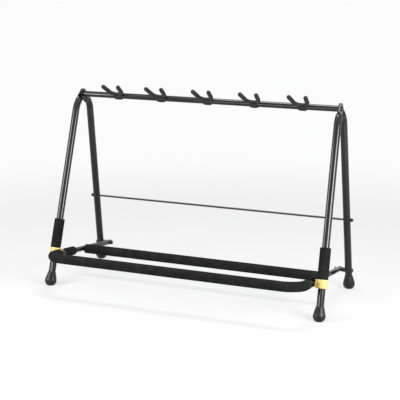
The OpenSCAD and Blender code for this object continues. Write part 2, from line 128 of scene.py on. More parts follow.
class NodeSketch:
    """Adds nodes to a tree and wires them as they are made."""

    def __init__(self, tree: NodeTree) -> None:
        """Keeps the tree that the nodes go into."""
        self.tree = tree

    def add(self, kind: str, feeds: Feeds | None = None, **settings: object) -> Node:
        """Makes one node.

        Args:
            kind: The node's type.
            feeds: Values or output sockets for its inputs, by name or index.
            **settings: Properties of the node itself.

        Returns:
            The new node.
        """
        made = self.tree.nodes.new(kind)
        for name, setting in settings.items():
            setattr(made, name, setting)
        for socket, value in (feeds or {}).items():
            self.feed(made.inputs[socket], value)
        return made

    def out(self, kind: str, feeds: Feeds | None = None, **settings: object) -> NodeSocket:
        """First output of a new node."""
        return self.add(kind, feeds, **settings).outputs[0]

    def feed(self, socket: NodeSocket, value: Value) -> None:
        """Links an output to a socket, or sets the socket's own value.

        Args:
            socket: The input to feed.
            value: An output socket or a plain value.
        """
        if isinstance(value, NodeSocket):
            self.tree.links.new(value, socket)
        else:
            socket.default_value = value

    def math(self, operation: str, *terms: Value) -> NodeSocket:
        """Output of a Math node over the terms."""
        return self.out("ShaderNodeMath", dict(enumerate(terms)), operation=operation)

    def blend(self, share: Value, low: Value, high: Value) -> NodeSocket:
        """Colour between low and high by share."""
        return self.add("ShaderNodeMix", {0: share, 6: low, 7: high}, data_type="RGBA").outputs[2]

    def ramp(self, value: Value, span: Span, ends: Span = (0.0, 1.0)) -> NodeSocket:
        """Value carried smoothly from a span onto another, and held at its ends."""
        feeds = dict(enumerate((value, *span, *ends)))
        return self.out("ShaderNodeMapRange", feeds, interpolation_type="SMOOTHSTEP")

    def spot(self) -> NodeSocket:
        """Place on the object, in its own coordinates."""
        return self.add("ShaderNodeTexCoord").outputs["Object"]

    def facing(self) -> NodeSocket:
        """Direction that the surface faces."""
        return self.add("ShaderNodeNewGeometry").outputs["Normal"]

    def noise(self, scale: Value, detail: float) -> NodeSocket:
        """Cloudy noise over the object."""
        return self.out("ShaderNodeTexNoise", {"Vector": self.spot(), "Scale": scale, "Detail": detail})


Group = tuple[NodeSketch, dict[str, NodeSocket], dict[str, NodeSocket]]


def new_group(name: str, kind: str, takes: dict[str, str], gives: dict[str, str]) -> Group:
    """Starts a node group with named sockets.

    Args:
        name: The group's name.
        kind: The tree's type.
        takes: Input names with their socket types.
        gives: Output names with their socket types.

    Returns:
        A sketch of the tree, its input sockets by name and its output node's sockets by name.
    """
    tree = bpy.data.node_groups.new(name, kind)
    for way, sockets in (("INPUT", takes), ("OUTPUT", gives)):
        for label, socket in sockets.items():
            tree.interface.new_socket(label, in_out=way, socket_type="NodeSocket" + socket)
    sketch = NodeSketch(tree)
    source = sketch.add("NodeGroupInput").outputs
    sink = sketch.add("NodeGroupOutput").inputs
    return sketch, {label: source[label] for label in takes}, {label: sink[label] for label in gives}


def value_group(name: str, takes: Sequence[str], gives: Sequence[str]) -> Group:
    """Starts a shader group whose sockets all carry plain values."""
    return new_group(name, "ShaderNodeTree", dict.fromkeys(takes, "Float"), dict.fromkeys(gives, "Float"))


class Effects:
    """Shader groups that several finishes share, each built once.

    Attributes:
        patch_span: Noise between a glossy and a dull patch.
        sharp_turn: Turn of the surface from flat to a sharp edge, as a cosine.
        rubbed_span: Noise between a whole and a rubbed edge.
        upward_span: Upward facing between a clean and a dusty side.
        shade_span: Painted pit shade and cloud between a pit and a rim of the foam.
        dust_scale: Scale of the dust's clouds.
        cloud_scale: Scale of the foam's clouds.
        finer: How much finer the foam's second cells are.
        pit_relief: Share of the large pits in the foam's relief.
        pit_shade: Share of the large pits in the foam's painted shade, which darkens the pits.
    """

    patch_span: Span = (0.3, 0.7)
    sharp_turn: Span = (0.99, 0.8)
    rubbed_span: Span = (0.45, 0.65)
    upward_span: Span = (0.35, 1.0)
    shade_span: Span = (0.3, 1.1)
    dust_scale: float = 60.0
    cloud_scale: float = 38.0
    finer: float = 2.6
    pit_relief: float = 0.7
    pit_shade: float = 0.5

    def __init__(self) -> None:
        """Builds the groups."""
        self.peel = self.build_peel()
        self.edges = self.build_edges()
        self.dust = self.build_dust()
        self.cells = self.build_cells()

    def build_peel(self) -> NodeTree:
        """Orange peel of a baked coat or a moulded skin: a fine relief and a patchy gloss.

        Returns:
            The group.
        """
        sketch, takes, gives = value_group("skin_peel", ["Scale", "Patch Scale"], ["Height", "Patch"])
        sketch.feed(gives["Height"], sketch.noise(takes["Scale"], detail=2.0))
        patches = sketch.noise(takes["Patch Scale"], detail=4.0)
        sketch.feed(gives["Patch"], sketch.ramp(patches, self.patch_span))
        return sketch.tree

    def build_edges(self) -> NodeTree:
        """Rubbed edges: a mask where the surface turns sharply, broken up by noise.

        Returns:
            The group.
        """
        sketch, takes, gives = value_group("rubbed_edges", ["Radius", "Break Up"], ["Mask"])
        rounded = sketch.out("ShaderNodeBevel", {"Radius": takes["Radius"]}, samples=4)
        turn = sketch.add("ShaderNodeVectorMath", {0: rounded, 1: sketch.facing()}, operation="DOT_PRODUCT")
        edge = sketch.ramp(turn.outputs["Value"], self.sharp_turn)
        rubbed = sketch.ramp(sketch.noise(takes["Break Up"], detail=5.0), self.rubbed_span)
        sketch.feed(gives["Mask"], sketch.math("MULTIPLY", edge, rubbed))
        return sketch.tree

    def build_dust(self) -> NodeTree:
        """Dust that settles on what faces up.

        Returns:
            The group.
        """
        sketch, takes, gives = value_group("settled_dust", ["Amount"], ["Mask"])
        up = sketch.add("ShaderNodeSeparateXYZ", {0: sketch.facing()}).outputs["Z"]
        clouds = sketch.noise(self.dust_scale, detail=8.0)
        lying = sketch.math("MULTIPLY", sketch.ramp(up, self.upward_span), clouds)
        sketch.feed(gives["Mask"], sketch.math("MULTIPLY", lying, takes["Amount"]))
        return sketch.tree

    def build_cells(self) -> NodeTree:
        """Cells of foam rubber: small pits in two sizes, with painted shade that darkens the large pits and soft
        cloudy tone.

        Returns:
            The group.
        """
        sketch, takes, gives = value_group("foam_cells", ["Scale"], ["Height", "Shade"])
        feeds = {"Vector": sketch.spot(), "Scale": takes["Scale"]}
        pits = sketch.out("ShaderNodeTexVoronoi", feeds, feature="SMOOTH_F1")
        fine = sketch.noise(sketch.math("MULTIPLY", takes["Scale"], self.finer), detail=3.0)
        clouds = sketch.noise(self.cloud_scale, detail=4.0)
        sketch.feed(gives["Height"], sketch.math("MULTIPLY_ADD", pits, self.pit_relief, fine))
        # Painted shade: the colour darkens in the large pits, mixed with random cloudy tone.
        shade = sketch.math("MULTIPLY_ADD", pits, self.pit_shade, clouds)
        sketch.feed(gives["Shade"], sketch.ramp(shade, self.shade_span))
        return sketch.tree


class Skin(NodeSketch):
    """A material's tree around its Principled shader, with the shared effects at hand.

    In the names of inputs that are given as keywords, underscores stand for spaces.
    """

    def __init__(self, material: Material, effects: Effects) -> None:
        """Takes up a new material.

        Args:
            material: The material.
            effects: The shared shader groups.
        """
        super().__init__(material.node_tree)
        self.shader = material.node_tree.nodes["Principled BSDF"]
        self.effects = effects

    def effect(self, tree: NodeTree, **feeds: Value) -> bpy.types.bpy_prop_collection:
        """Places a shared effect and gives its outputs."""
        named = {label.replace("_", " "): value for label, value in feeds.items()}
        return self.add("ShaderNodeGroup", named, node_tree=tree).outputs

    def coat(self, **feeds: Value) -> None:
        """Feeds inputs of the shader."""
        for label, value in feeds.items():
            self.feed(self.shader.inputs[label.replace("_", " ")], value)

    def dusted(self, tone: Value, amount: float, color: Color) -> NodeSocket:
        """Colours the shader in a tone under settled dust.

        Args:
            tone: Colour of the clean surface.
            amount: Amount of dust.
            color: Colour of the dust.

        Returns:
            The dust's mask.
        """
        mask = self.effect(self.effects.dust, Amount=amount)["Mask"]
        self.coat(Base_Color=self.blend(mask, tone, color))
        return mask

    def relief(self, height: Value, depth: float) -> None:
        """Raises a height map on the surface, depth metres from low to high."""
        self.coat(Normal=self.out("ShaderNodeBump", {"Height": height, "Distance": depth, "Strength": 1.0}))


@dataclass(frozen=True)
class Finish:
    """Base of every finish: a named material around one Principled shader.

    Attributes:
        name: The material's name.
        color: Its colour where it is clean.
        roughness: Its roughness where it is clean.
    """

    name: str
    color: Color
    roughness: float

    def material(self, effects: Effects) -> Material:
        """Makes the material.

        Args:
            effects: The shared shader groups.

        Returns:
            The material.
        """
        material = bpy.data.materials.new(self.name)
        material.use_nodes = True
        material.diffuse_color = self.color
        skin = Skin(material, effects)
        skin.coat(Base_Color=self.color, Roughness=self.roughness)
        self.wire(skin)
        return material

    def wire(self, skin: Skin) -> None:
        """Wires the finish into a new material; each kind has its own."""
        raise NotImplementedError


@dataclass(frozen=True)
class Grained(Finish):
    """Base of the finishes with a fine grain, dull patches and rubbed edges.

    Attributes:
        grain: Scale of the grain.
        grain_depth: Relief of the grain.
        patch_scale: Scale of the dull patches.
        gloss_range: How much rougher the dull patches are.
        edge_r: Radius of the edges that are rubbed.
        edge_break: Scale of the noise that breaks up the rubbed edges.
    """

    grain: float = 1400.0
    grain_depth: float = 2e-5
    patch_scale: float = 45.0
    gloss_range: float = 0.1
    edge_r: float = 0.0015
    edge_break: float = 220.0

    def surface(self, skin: Skin) -> tuple[NodeSocket, NodeSocket, NodeSocket]:
        """Gives the material its grain.

        Args:
            skin: The new material's tree.

        Returns:
            Masks of the dull patches and of the rubbed edges, and the patchy roughness.
        """
        peel = skin.effect(skin.effects.peel, Scale=self.grain, Patch_Scale=self.patch_scale)
        edges = skin.effect(skin.effects.edges, Radius=self.edge_r, Break_Up=self.edge_break)
        skin.relief(peel["Height"], self.grain_depth)
        dull = skin.math("MULTIPLY_ADD", peel["Patch"], self.gloss_range, self.roughness)
        return peel["Patch"], edges["Mask"], dull


@dataclass(frozen=True)
class CoatedSteel(Grained):
    """Black baked coat on steel tube, with orange peel, rubbed edges and a little dust.

    Attributes:
        dust: Amount of dust on upper sides.
        dust_dull: How much rougher the dust is.
        specular: Specular level of the coat.
        worn: Colour of a rubbed edge.
        rub: How far the rubbed edges turn to that colour.
    """

    grain: float = 900.0
    grain_depth: float = 6e-7
    patch_scale: float = 9.0
    gloss_range: float = 0.06
    edge_r: float = 0.0012
    edge_break: float = 140.0
    dust: float = 0.02
    dust_dull: float = 0.8
    specular: float = 0.4
    worn: Color = (0.09, 0.09, 0.092, 1.0)
    rub: float = 0.5

    def wire(self, skin: Skin) -> None:
        """Wires the coat.

        Args:
            skin: The new material's tree.
        """
        _, edges, dull = self.surface(skin)
        rubbed = skin.blend(skin.math("MULTIPLY", edges, self.rub), self.color, self.worn)
        dust = skin.dusted(rubbed, self.dust, DUST)
        skin.coat(Roughness=skin.math("MULTIPLY_ADD", dust, self.dust_dull, dull))
        skin.coat(Specular_IOR_Level=self.specular)


@dataclass(frozen=True)
class Moulded(Grained):
    """Moulded plastic or rubber with a fine grain.

    Attributes:
        bloom: Paler tone in its dull patches and on rubbed edges.
        patch_bloom: How far the dull patches turn to that tone.
        edge_bloom: How far the rubbed edges turn to that tone.
        dust: Amount of dust on upper sides.
        specular: Specular level of the surface.
        subsurface: Weight of light that passes under the surface.
        subsurface_reach: How far that light goes, by colour.
    """

    bloom: Color = DULL_BLACK
    patch_bloom: float = 0.25
    edge_bloom: float = 0.4
    dust: float = 0.03
    specular: float = 0.3
    subsurface: float = 0.0
    subsurface_reach: tuple[float, float, float] = (0.004, 0.003, 0.001)

    def wire(self, skin: Skin) -> None:
        """Wires the moulded skin.

        Args:
            skin: The new material's tree.
        """
        patches, edges, dull = self.surface(skin)
        bloomed = skin.math("MULTIPLY", patches, self.patch_bloom)
        share = skin.math("MULTIPLY_ADD", edges, self.edge_bloom, bloomed)
        skin.dusted(skin.blend(share, self.color, self.bloom), self.dust, DUST)
        skin.coat(Roughness=dull, Specular_IOR_Level=self.specular)
        skin.coat(Subsurface_Weight=self.subsurface, Subsurface_Radius=self.subsurface_reach)


@dataclass(frozen=True)
class FoamSkin(Finish):
    """Matte skin of black foam rubber.

    Attributes:
        cell_scale: Scale of the cells.
        cell_depth: Relief of the cells.
        lift: Paler tone at the rims of the cells, against painted shade in their pits.
        gloss_range: How much rougher those rims are.
        dust: Amount of lint on upper sides.
        specular: Specular level of the skin.
    """

    cell_scale: float = 750.0
    cell_depth: float = 1.6e-4
    lift: Color = (0.020, 0.020, 0.021, 1.0)
    gloss_range: float = 0.08
    dust: float = 0.012
    specular: float = 0.03

    def wire(self, skin: Skin) -> None:
        """Wires the foam.

        Args:
            skin: The new material's tree.
        """
        cells = skin.effect(skin.effects.cells, Scale=self.cell_scale)
        # Painted shade: the cells' pits take the darker colour and their rims the paler lift, mixed with random
        # cloudy tone.
        skin.dusted(skin.blend(cells["Shade"], self.color, self.lift), self.dust, LINT)
        skin.coat(Roughness=skin.math("MULTIPLY_ADD", cells["Shade"], self.gloss_range, self.roughness))
        skin.coat(Specular_IOR_Level=self.specular)
        skin.relief(cells["Height"], self.cell_depth)


@dataclass(frozen=True)
class BoltSteel(Grained):
    """Blackened steel of bolts and nuts, rubbed bright at its edges.

    Attributes:
        worn: Colour of a rubbed edge.
    """

    grain: float = 2200.0
    grain_depth: float = 3e-6
    patch_scale: float = 160.0
    gloss_range: float = 0.12
    edge_r: float = 0.0006
    edge_break: float = 400.0
    worn: Color = (0.16, 0.16, 0.165, 1.0)

    def wire(self, skin: Skin) -> None:
        """Wires the blackened steel."""
        _, edges, dull = self.surface(skin)
        skin.coat(Base_Color=skin.blend(edges, self.color, self.worn), Metallic=1.0, Roughness=dull)


class Finishes:
    """Every material of the rack, by the record's slot."""

    def __init__(self, effects: Effects) -> None:
        """Builds the materials.

        Args:
            effects: The shared shader groups.
        """
        kinds: dict[str, Finish] = {
            "gloss_black_steel": CoatedSteel("gloss_black_coat", (0.005, 0.005, 0.0054, 1.0), 0.09),
            "satin_black_steel": CoatedSteel(
                "satin_black_coat", (0.006, 0.006, 0.0065, 1.0), 0.25, grain_depth=5e-6, gloss_range=0.1,
                dust=0.03),
            "plated_steel": BoltSteel("blackened_steel", (0.05, 0.05, 0.053, 1.0), 0.36),
            "nylon": Moulded("black_nylon", (0.012, 0.012, 0.013, 1.0), 0.45),
            "black_plastic": Moulded("plug_plastic", (0.008, 0.008, 0.009, 1.0), 0.38),
            "yoke_plastic": Moulded("moulded_yoke", (0.014, 0.014, 0.015, 1.0), 0.44, specular=0.2),
            "pad_rubber": Moulded(
                "prong_skin", (0.014, 0.014, 0.015, 1.0), 0.5, grain=1000.0, grain_depth=1e-5,
                specular=0.2),
            "foot_rubber": Moulded(
                "foot_skin", (0.007, 0.007, 0.008, 1.0), 0.30, grain=1100.0, grain_depth=3e-6, dust=0.02),
            "black_foam": FoamSkin("foam_skin", (0.008, 0.008, 0.0083, 1.0), 0.88),
            "yellow_plastic": Moulded(
                "collar_plastic", (0.64, 0.485, 0.13, 1.0), 0.24, grain=700.0, grain_depth=6e-6,
                bloom=(0.74, 0.60, 0.25, 1.0), dust=0.02, specular=0.5, subsurface=0.12),
        }
        self.by_slot = {slot: kind.material(effects) for slot, kind in kinds.items()}

    def dress_solids(self) -> None:
        """Gives every solid the material of its slot in the record."""
        for entry in frame["record"]["subparts"]:
            for spot in frame["nodes"][entry["node"]].material_slots:
                spot.material = self.by_slot[entry["material_slot"]]

    def mount(self, piece: Object, node: str, body: str, slot: str) -> Object:
        """Dresses a piece and sets it in the place of a solid.

        Args:
            piece: The piece.
            node: The solid that it stands for.
            body: The body that it rides on.
            slot: The record's slot, whose material it gets.

        Returns:
            The piece.
        """
        piece.data.materials.clear()
        piece.data.materials.append(self.by_slot[slot])
        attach(piece, body)
        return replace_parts(piece, node)

    def mount_foam(self, foam: Object, node: str, body: str) -> Object:
        """Sets a padded foam piece in the place of a solid."""
        return self.mount(foam, node, body, "black_foam")


def new_piece(name: str, mesh: Mesh) -> Object:
    """Puts a mesh in the scene as an object at the origin.

    Args:
        name: The object's name.
        mesh: Its mesh.

    Returns:
        The object.
    """
    piece = bpy.data.objects.new(name, mesh)
    bpy.context.scene.collection.objects.link(piece)
    return piece


def tidy(mesh: Mesh) -> Mesh:
    """Merges doubles, turns faces outwards and shades smooth, with sharp edges above an angle.

    Args:
        mesh: The mesh to work on.

    Returns:
        The mesh.
    """
    work = bmesh.new()
    work.from_mesh(mesh)
    bmesh.ops.remove_doubles(work, verts=work.verts, dist=MERGE_DISTANCE)
    bmesh.ops.recalc_face_normals(work, faces=work.faces)
    work.to_mesh(mesh)
    work.free()
    mesh.shade_smooth()
    mesh.set_sharp_from_angle(angle=SMOOTH_ANGLE)
    return mesh


def mesh_of(name: str, points: np.ndarray, faces: list[tuple[int, ...]]) -> Mesh:
    """Makes a mesh with its faces turned outwards.

    Args:
        name: The mesh's name.
        points: Its points, one row each.
        faces: Its faces as rows of point numbers.

    Returns:
        The mesh.
    """
    mesh = bpy.data.meshes.new(name)
    mesh.from_pydata([tuple(point) for point in points], [], faces)
    return tidy(mesh)


def loft(name: str, rings: np.ndarray, wrap: bool = False) -> Mesh:
    """Skins a stack of rings.

    Args:
        name: The mesh's name.
        rings: Points by ring, side and axis.
        wrap: True joins the last ring to the first, as around a sleeve's wall, and False closes
            both ends with a face.

    Returns:
        The closed mesh.
    """
    rows, sides, _ = rings.shape
    faces = []
    for row in range(rows if wrap else rows - 1):
        here, there = row * sides, (row + 1) % rows * sides
        for side in range(sides):
            after = (side + 1) % sides
            faces.append((here + side, here + after, there + after, there + side))
    if not wrap:
        faces += [tuple(range(sides)), tuple(range((rows - 1) * sides, rows * sides))]
    return mesh_of(name, rings.reshape(-1, 3), faces)


def around(sides: int) -> np.ndarray:
    """Angles of points spread evenly on a circle."""
    return np.linspace(0, 2 * math.pi, sides, endpoint=False)


def lathe(profile: Sequence[Sequence[float]], sides: int) -> np.ndarray:
    """Turns a profile of (radius, height) about Z.

    Args:
        profile: The profile's points.
        sides: Points around the axis.

    Returns:
        Points by ring, side and axis.
    """
    radius, height = np.array(profile, float).T
    x = np.outer(radius, np.cos(around(sides)))
    y = np.outer(radius, np.sin(around(sides)))
    return np.stack([x, y, np.repeat(height[:, None], sides, 1)], -1)


def straight(start: Sequence[float], end: Sequence[float], step: float) -> np.ndarray:
    """Points on a straight line.

    Args:
        start: Its first point.
        end: Its last point.
        step: Largest distance between points.

    Returns:
        The points, one row each.
    """
    first, way = np.array(start, float), np.subtract(end, start)
    count = max(2, math.ceil(np.linalg.norm(way) / step) + 1)
    return first + np.linspace(0, 1, count)[:, None] * way


def arc(centre: Sequence[float], radius: float, start: float, end: float, count: int = 6) -> np.ndarray:
    """Points on an arc in a plane, from one angle in degrees to another."""
    angle = np.radians(np.linspace(start, end, count))
    return np.array(centre) + radius * np.stack([np.cos(angle), np.sin(angle)], -1)


def fine_arc(centre: Sequence[float], radius: float, start: float, end: float, step: float) -> np.ndarray:
    """Points on an arc in a plane, no further apart than a step."""
    count = max(3, math.ceil(abs(math.radians(end - start)) * radius / step) + 1)
    return arc(centre, radius, start, end, count)


def joined(*runs: np.ndarray) -> np.ndarray:
    """One line of points from several that follow each other, without the doubled ends."""
    return np.concatenate([runs[0], *[run[1:] for run in runs[1:]]])


def courses(line: np.ndarray) -> np.ndarray:
    """Directions along a line of points, one for each."""
    course = np.gradient(line, axis=0)
    return course / np.linalg.norm(course, axis=1)[:, None]


def placed(matrix: Matrix, points: np.ndarray) -> np.ndarray:
    """Points carried by a matrix, whatever the shape of their array."""
    carrier = np.array(matrix)
    return points @ carrier[:3, :3].T + carrier[:3, 3]


def settle(piece: Object) -> Object:
    """Turns a piece's modifiers into its plain mesh.

    Args:
        piece: The piece.

    Returns:
        The piece, without modifiers.
    """
    graph = bpy.context.evaluated_depsgraph_get()
    mesh = bpy.data.meshes.new_from_object(piece.evaluated_get(graph))
    old = piece.data
    piece.modifiers.clear()
    piece.data = mesh
    bpy.data.meshes.remove(old)
    return piece


def carve(piece: Object, tool: Object, operation: str = "DIFFERENCE") -> Object:
    """Cuts a tool out of a piece, or joins it on, and removes the tool.

    Args:
        piece: The piece.
        tool: The tool.
        operation: What to do, as the Boolean modifier names it.

    Returns:
        The piece.
    """
    modifier = piece.modifiers.new("carve", "BOOLEAN")
    modifier.operation = operation
    modifier.solver = "EXACT"
    modifier.object = tool
    settle(piece)
    bpy.data.objects.remove(tool)
    return piece


def soften(piece: Object, radius: float, steps: int) -> Object:
    """Rounds a piece's sharp edges.

    Args:
        piece: The piece.
        radius: Width of the rounding.
        steps: Rows of faces across it.

    Returns:
        The piece.
    """
    modifier = piece.modifiers.new("soften", "BEVEL")
    modifier.width = radius
    modifier.segments = steps
    modifier.limit_method = "ANGLE"
    modifier.angle_limit = SOFTEN_ANGLE
    modifier.use_clamp_overlap = True
    return settle(piece)


def rod_tool(start: Vector, end: Vector, radius: float, sides: int = 48) -> Object:
    """Round bar between two points, for cutting holes.

    Args:
        start: Middle of one end.
        end: Middle of the other.
        radius: The bar's radius.
        sides: Points around it.

    Returns:
        The bar.
    """
    mesh = loft("tool", lathe([(radius, 0.0), (radius, (end - start).length)], sides))
    turn = (end - start).to_track_quat("Z", "Y").to_matrix().to_4x4()
    mesh.transform(Matrix.Translation(start) @ turn)
    return new_piece("tool", mesh)


def block_tool(low: Sequence[float], high: Sequence[float]) -> Object:
    """Square block between two corners, for cutting pockets.

    Args:
        low: Its corner with the smallest coordinates.
        high: Its corner with the largest.

    Returns:
        The block.
    """
    outline = ((low[0], low[1]), (high[0], low[1]), (high[0], high[1]), (low[0], high[1]))
    rings = [[(x, y, z) for x, y in outline] for z in (low[2], high[2])]
    return new_piece("tool", loft("tool", np.array(rings)))


def drill(piece: Object, spot: Vector, radius: float, reach: float = 0.03) -> Object:
    """Drills a hole along X through a piece, as far as a reach to either side of a spot."""
    aside = Vector((reach, 0, 0))
    return carve(piece, rod_tool(spot - aside, spot + aside, radius))


class GrowTree:
    """Base of the trees of geometry nodes that grow a piece out of a mesh."""

    def __init__(self, name: str, sizes: dict[str, str]) -> None:
        """Builds the tree around its own nodes, down to plain geometry with a material.

        Args:
            name: The tree's name.
            sizes: Names of its own inputs, with their socket types.
        """
        named = {"Seed": "Geometry", **sizes, "Finish": "Material"}
        sketch, takes, gives = new_group(name, "GeometryNodeTree", named, {"Piece": "Geometry"})
        plain = sketch.out("GeometryNodeRealizeInstances", {0: self.wire(sketch, takes)})
        feeds = {"Geometry": plain, "Material": takes["Finish"]}
        sketch.feed(gives["Piece"], sketch.out("GeometryNodeSetMaterial", feeds))
        self.tree = sketch.tree

    def wire(self, sketch: NodeSketch, takes: dict[str, NodeSocket]) -> NodeSocket:
        """Wires the tree's own nodes; each kind has its own."""
        raise NotImplementedError

    def grow(self, name: str, seed: Mesh, values: dict[str, Value]) -> Object:
        """Runs the tree on a mesh.

        Args:
            name: The new piece's name.
            seed: The mesh that the tree takes in.
            values: Its other inputs, by name.

        Returns:
            The result as a plain mesh.
        """
        piece = new_piece(name, seed)
        modifier = piece.modifiers.new("grow", "NODES")
        modifier.node_group = self.tree
        for item in self.tree.interface.items_tree:
            if item.in_out == "INPUT" and item.name in values:
                modifier[item.identifier] = values[item.name]
        settle(piece)
        tidy(piece.data)
        return piece


class TubeTree(GrowTree):
    """Geometry nodes that sweep a tube along a line of edges."""

    def __init__(self) -> None:
        """Builds the tree."""
        super().__init__("swept_tube", {"Outer Radius": "Float", "Wall": "Float", "Sides": "Int"})

    def wire(self, sketch: NodeSketch, takes: dict[str, NodeSocket]) -> NodeSocket:
        """Sweeps a circle along the line and gives the tube its wall.

        Args:
            sketch: The tree.
            takes: Its inputs by name.

        Returns:
            The tube.
        """
        line = sketch.out("GeometryNodeMeshToCurve", {0: takes["Seed"]})
        feeds = {"Resolution": takes["Sides"], "Radius": takes["Outer Radius"]}
        circle = sketch.out("GeometryNodeCurvePrimitiveCircle", feeds)
        skin = sketch.out("GeometryNodeCurveToMesh", {"Curve": line, "Profile Curve": circle})
        depth = sketch.math("MULTIPLY", takes["Wall"], -1.0)
        feeds = {"Mesh": skin, "Offset Scale": depth, "Individual": False}
        inner = sketch.out("GeometryNodeExtrudeMesh", feeds, mode="FACES")
        both = sketch.add("GeometryNodeJoinGeometry")
        for shell in (skin, sketch.out("GeometryNodeFlipFaces", {0: inner})):
            sketch.feed(both.inputs[0], shell)
        feeds = {"Geometry": both.outputs[0], "Distance": MERGE_DISTANCE}
        return sketch.out("GeometryNodeMergeByDistance", feeds)

    def sweep(self, name: str, line: np.ndarray, radius: float, wall: float, finish: Material,
              sides: int = 64) -> Object:
        """Makes one tube.

        Args:
            name: The piece's name.
            line: Points of the tube's axis.
            radius: Outside radius.
            wall: Thickness of the tube's wall.
            finish: Its material.
            sides: Points around the tube.

        Returns:
            The tube as a plain mesh.
        """
        seed = bpy.data.meshes.new(name)
        seed.from_pydata([tuple(p) for p in line], [(i, i + 1) for i in range(len(line) - 1)], [])
        values = {"Outer Radius": radius, "Wall": wall, "Sides": sides, "Finish": finish}
        return self.grow(name, seed, values)


class PairTree(GrowTree):
    """Geometry nodes that set a piece at both ends of a span along X, turned outwards."""

    def __init__(self) -> None:
        """Builds the tree."""
        super().__init__("flared_pair", {"Half Span": "Float", "Reach": "Float", "Flare": "Float"})

    def wire(self, sketch: NodeSketch, takes: dict[str, NodeSocket]) -> NodeSocket:
        """Sets the piece on the two ends of a line, with its turn mirrored on the second.

        Args:
            sketch: The tree.
            takes: Its inputs by name.

        Returns:
            The pair.
        """
        ends = [
            sketch.out("ShaderNodeCombineXYZ", {0: x, 1: takes["Reach"]})
            for x in (sketch.math("MULTIPLY", takes["Half Span"], -1.0), takes["Half Span"])
        ]
        feeds = {"Count": 2, "Start Location": ends[0], "Offset": ends[1]}
        spots = sketch.out("GeometryNodeMeshLine", feeds, mode="END_POINTS")
        sign = sketch.math("MULTIPLY_ADD", sketch.out("GeometryNodeInputIndex"), -2.0, 1.0)
        spin = sketch.out("ShaderNodeCombineXYZ", {2: sketch.math("MULTIPLY", sign, takes["Flare"])})
        feeds = {"Points": spots, "Instance": takes["Seed"], "Rotation": spin}
        return sketch.out("GeometryNodeInstanceOnPoints", feeds)

    def place(self, name: str, mesh: Mesh, half_span: float, reach: float, flare: float,
              finish: Material) -> Object:
        """Makes the pair, half a span aside and a reach along Y, flared outwards in radians."""
        values = {"Half Span": half_span, "Reach": reach, "Flare": flare, "Finish": finish}
        return self.grow(name, mesh, values)


@dataclass(frozen=True)
class LegPlan:
    """Sizes of a leg's tube, in the plane of its side frame.

    Attributes:
        stand: Front or rear.
        lean: Lean of the straight stretch, in degrees.
        turn: Angle of the bend at the top, in degrees.
        offset: Place of the leg's plane along the hinge bolt.
        tab_run: Distance from the hinge to the bend.
        tab_half: Half the width of the pressed tab.
        press_len: Stretch in which the tab turns into round tube.
        sole: Rubber between the tube's end and the floor.
    """

    stand: Stand
    lean: float
    turn: float
    offset: float
    tube_r: float = 0.0125
    bend_r: float = 0.055
    tab_run: float = 0.0385
    tab_half: float = 0.019
    tab_t: float = 0.0036
    press_len: float = 0.0125
    sole: float = 0.012

    @property
    def top_lean(self) -> float:
        """Lean of the tab above the bend, in degrees."""
        return self.lean + self.turn

    def along(self, angle: float) -> np.ndarray:
        """Direction down the leg at an angle from upright."""
        a = math.radians(angle)
        return np.array([self.stand.value * math.sin(a), -math.cos(a)])

    def spoke(self, angle: float) -> np.ndarray:
        """Direction from the bend's centre to the tube where it has an angle from upright."""
        a = math.radians(angle)
        return np.array([self.stand.value * math.cos(a), math.sin(a)])

    def bend_centre(self) -> np.ndarray:
        """Centre of the bend at the top."""
        return self.tab_run * self.along(self.top_lean) - self.bend_r * self.spoke(self.top_lean)

    def bend_point(self, angle: float) -> np.ndarray:
        """Point of the bend where the tube has an angle from upright."""
        return self.bend_centre() + self.bend_r * self.spoke(angle)

    def toe(self, floor: float) -> np.ndarray:
        """Point where the leg's axis meets the floor."""
        top = self.bend_point(self.lean)
        return top + (top[1] - floor) / math.cos(math.radians(self.lean)) * self.along(self.lean)


REAR_LEG = LegPlan(Stand.REAR, 8.6, 40.8, 0.0)
FRONT_LEG = LegPlan(Stand.FRONT, 18.1, 32.5, 0.0051)


@dataclass(frozen=True)
class SideFrame:
    """One side of the rack: a plane with the hinge bolt along its x axis, y back and z up.

    Attributes:
        side: Left or right.
        hinge: Place of the hinge on the rear leg's plane, on the right-hand side.
        splay: Outward lean of the plane.
    """

    side: Side
    hinge: Vector
    splay: float

    @classmethod
    def of(cls, side: Side) -> "SideFrame":
        """Reads the plane from the front leg's hinge.

        Args:
            side: Left or right.

        Returns:
            The side's frame.
        """
        entry = joint(f"front_leg_{side.word}_fold")
        x, y, z = entry["pos_m"]
        return cls(side, Vector((abs(x), y, z)), math.asin(abs(entry["axis"][2])))

    def matrix(self) -> Matrix:
        """Carries the plane's own frame to the rack's."""
        mirror = Matrix.Diagonal((self.side.value, 1, 1, 1))
        return mirror @ Matrix.Translation(self.hinge) @ Matrix.Rotation(-self.splay, 4, "Y")

    def floor(self) -> float:
        """Height of the floor in the plane's own frame."""
        return -self.hinge.z / math.cos(self.splay)

    def leg_axis(self, plan: LegPlan, rise: float) -> Matrix:
        """Frame on a leg's axis, with z up the leg.

        Args:
            plan: The leg.
            rise: Distance of the frame from the floor along the leg.

        Returns:
            The frame.
        """
        y, z = plan.toe(self.floor()) - rise * plan.along(plan.lean)
        turn = Matrix.Rotation(math.radians(plan.stand.value * plan.lean), 4, "X")
        return self.matrix() @ Matrix.Translation((plan.offset, y, z)) @ turn


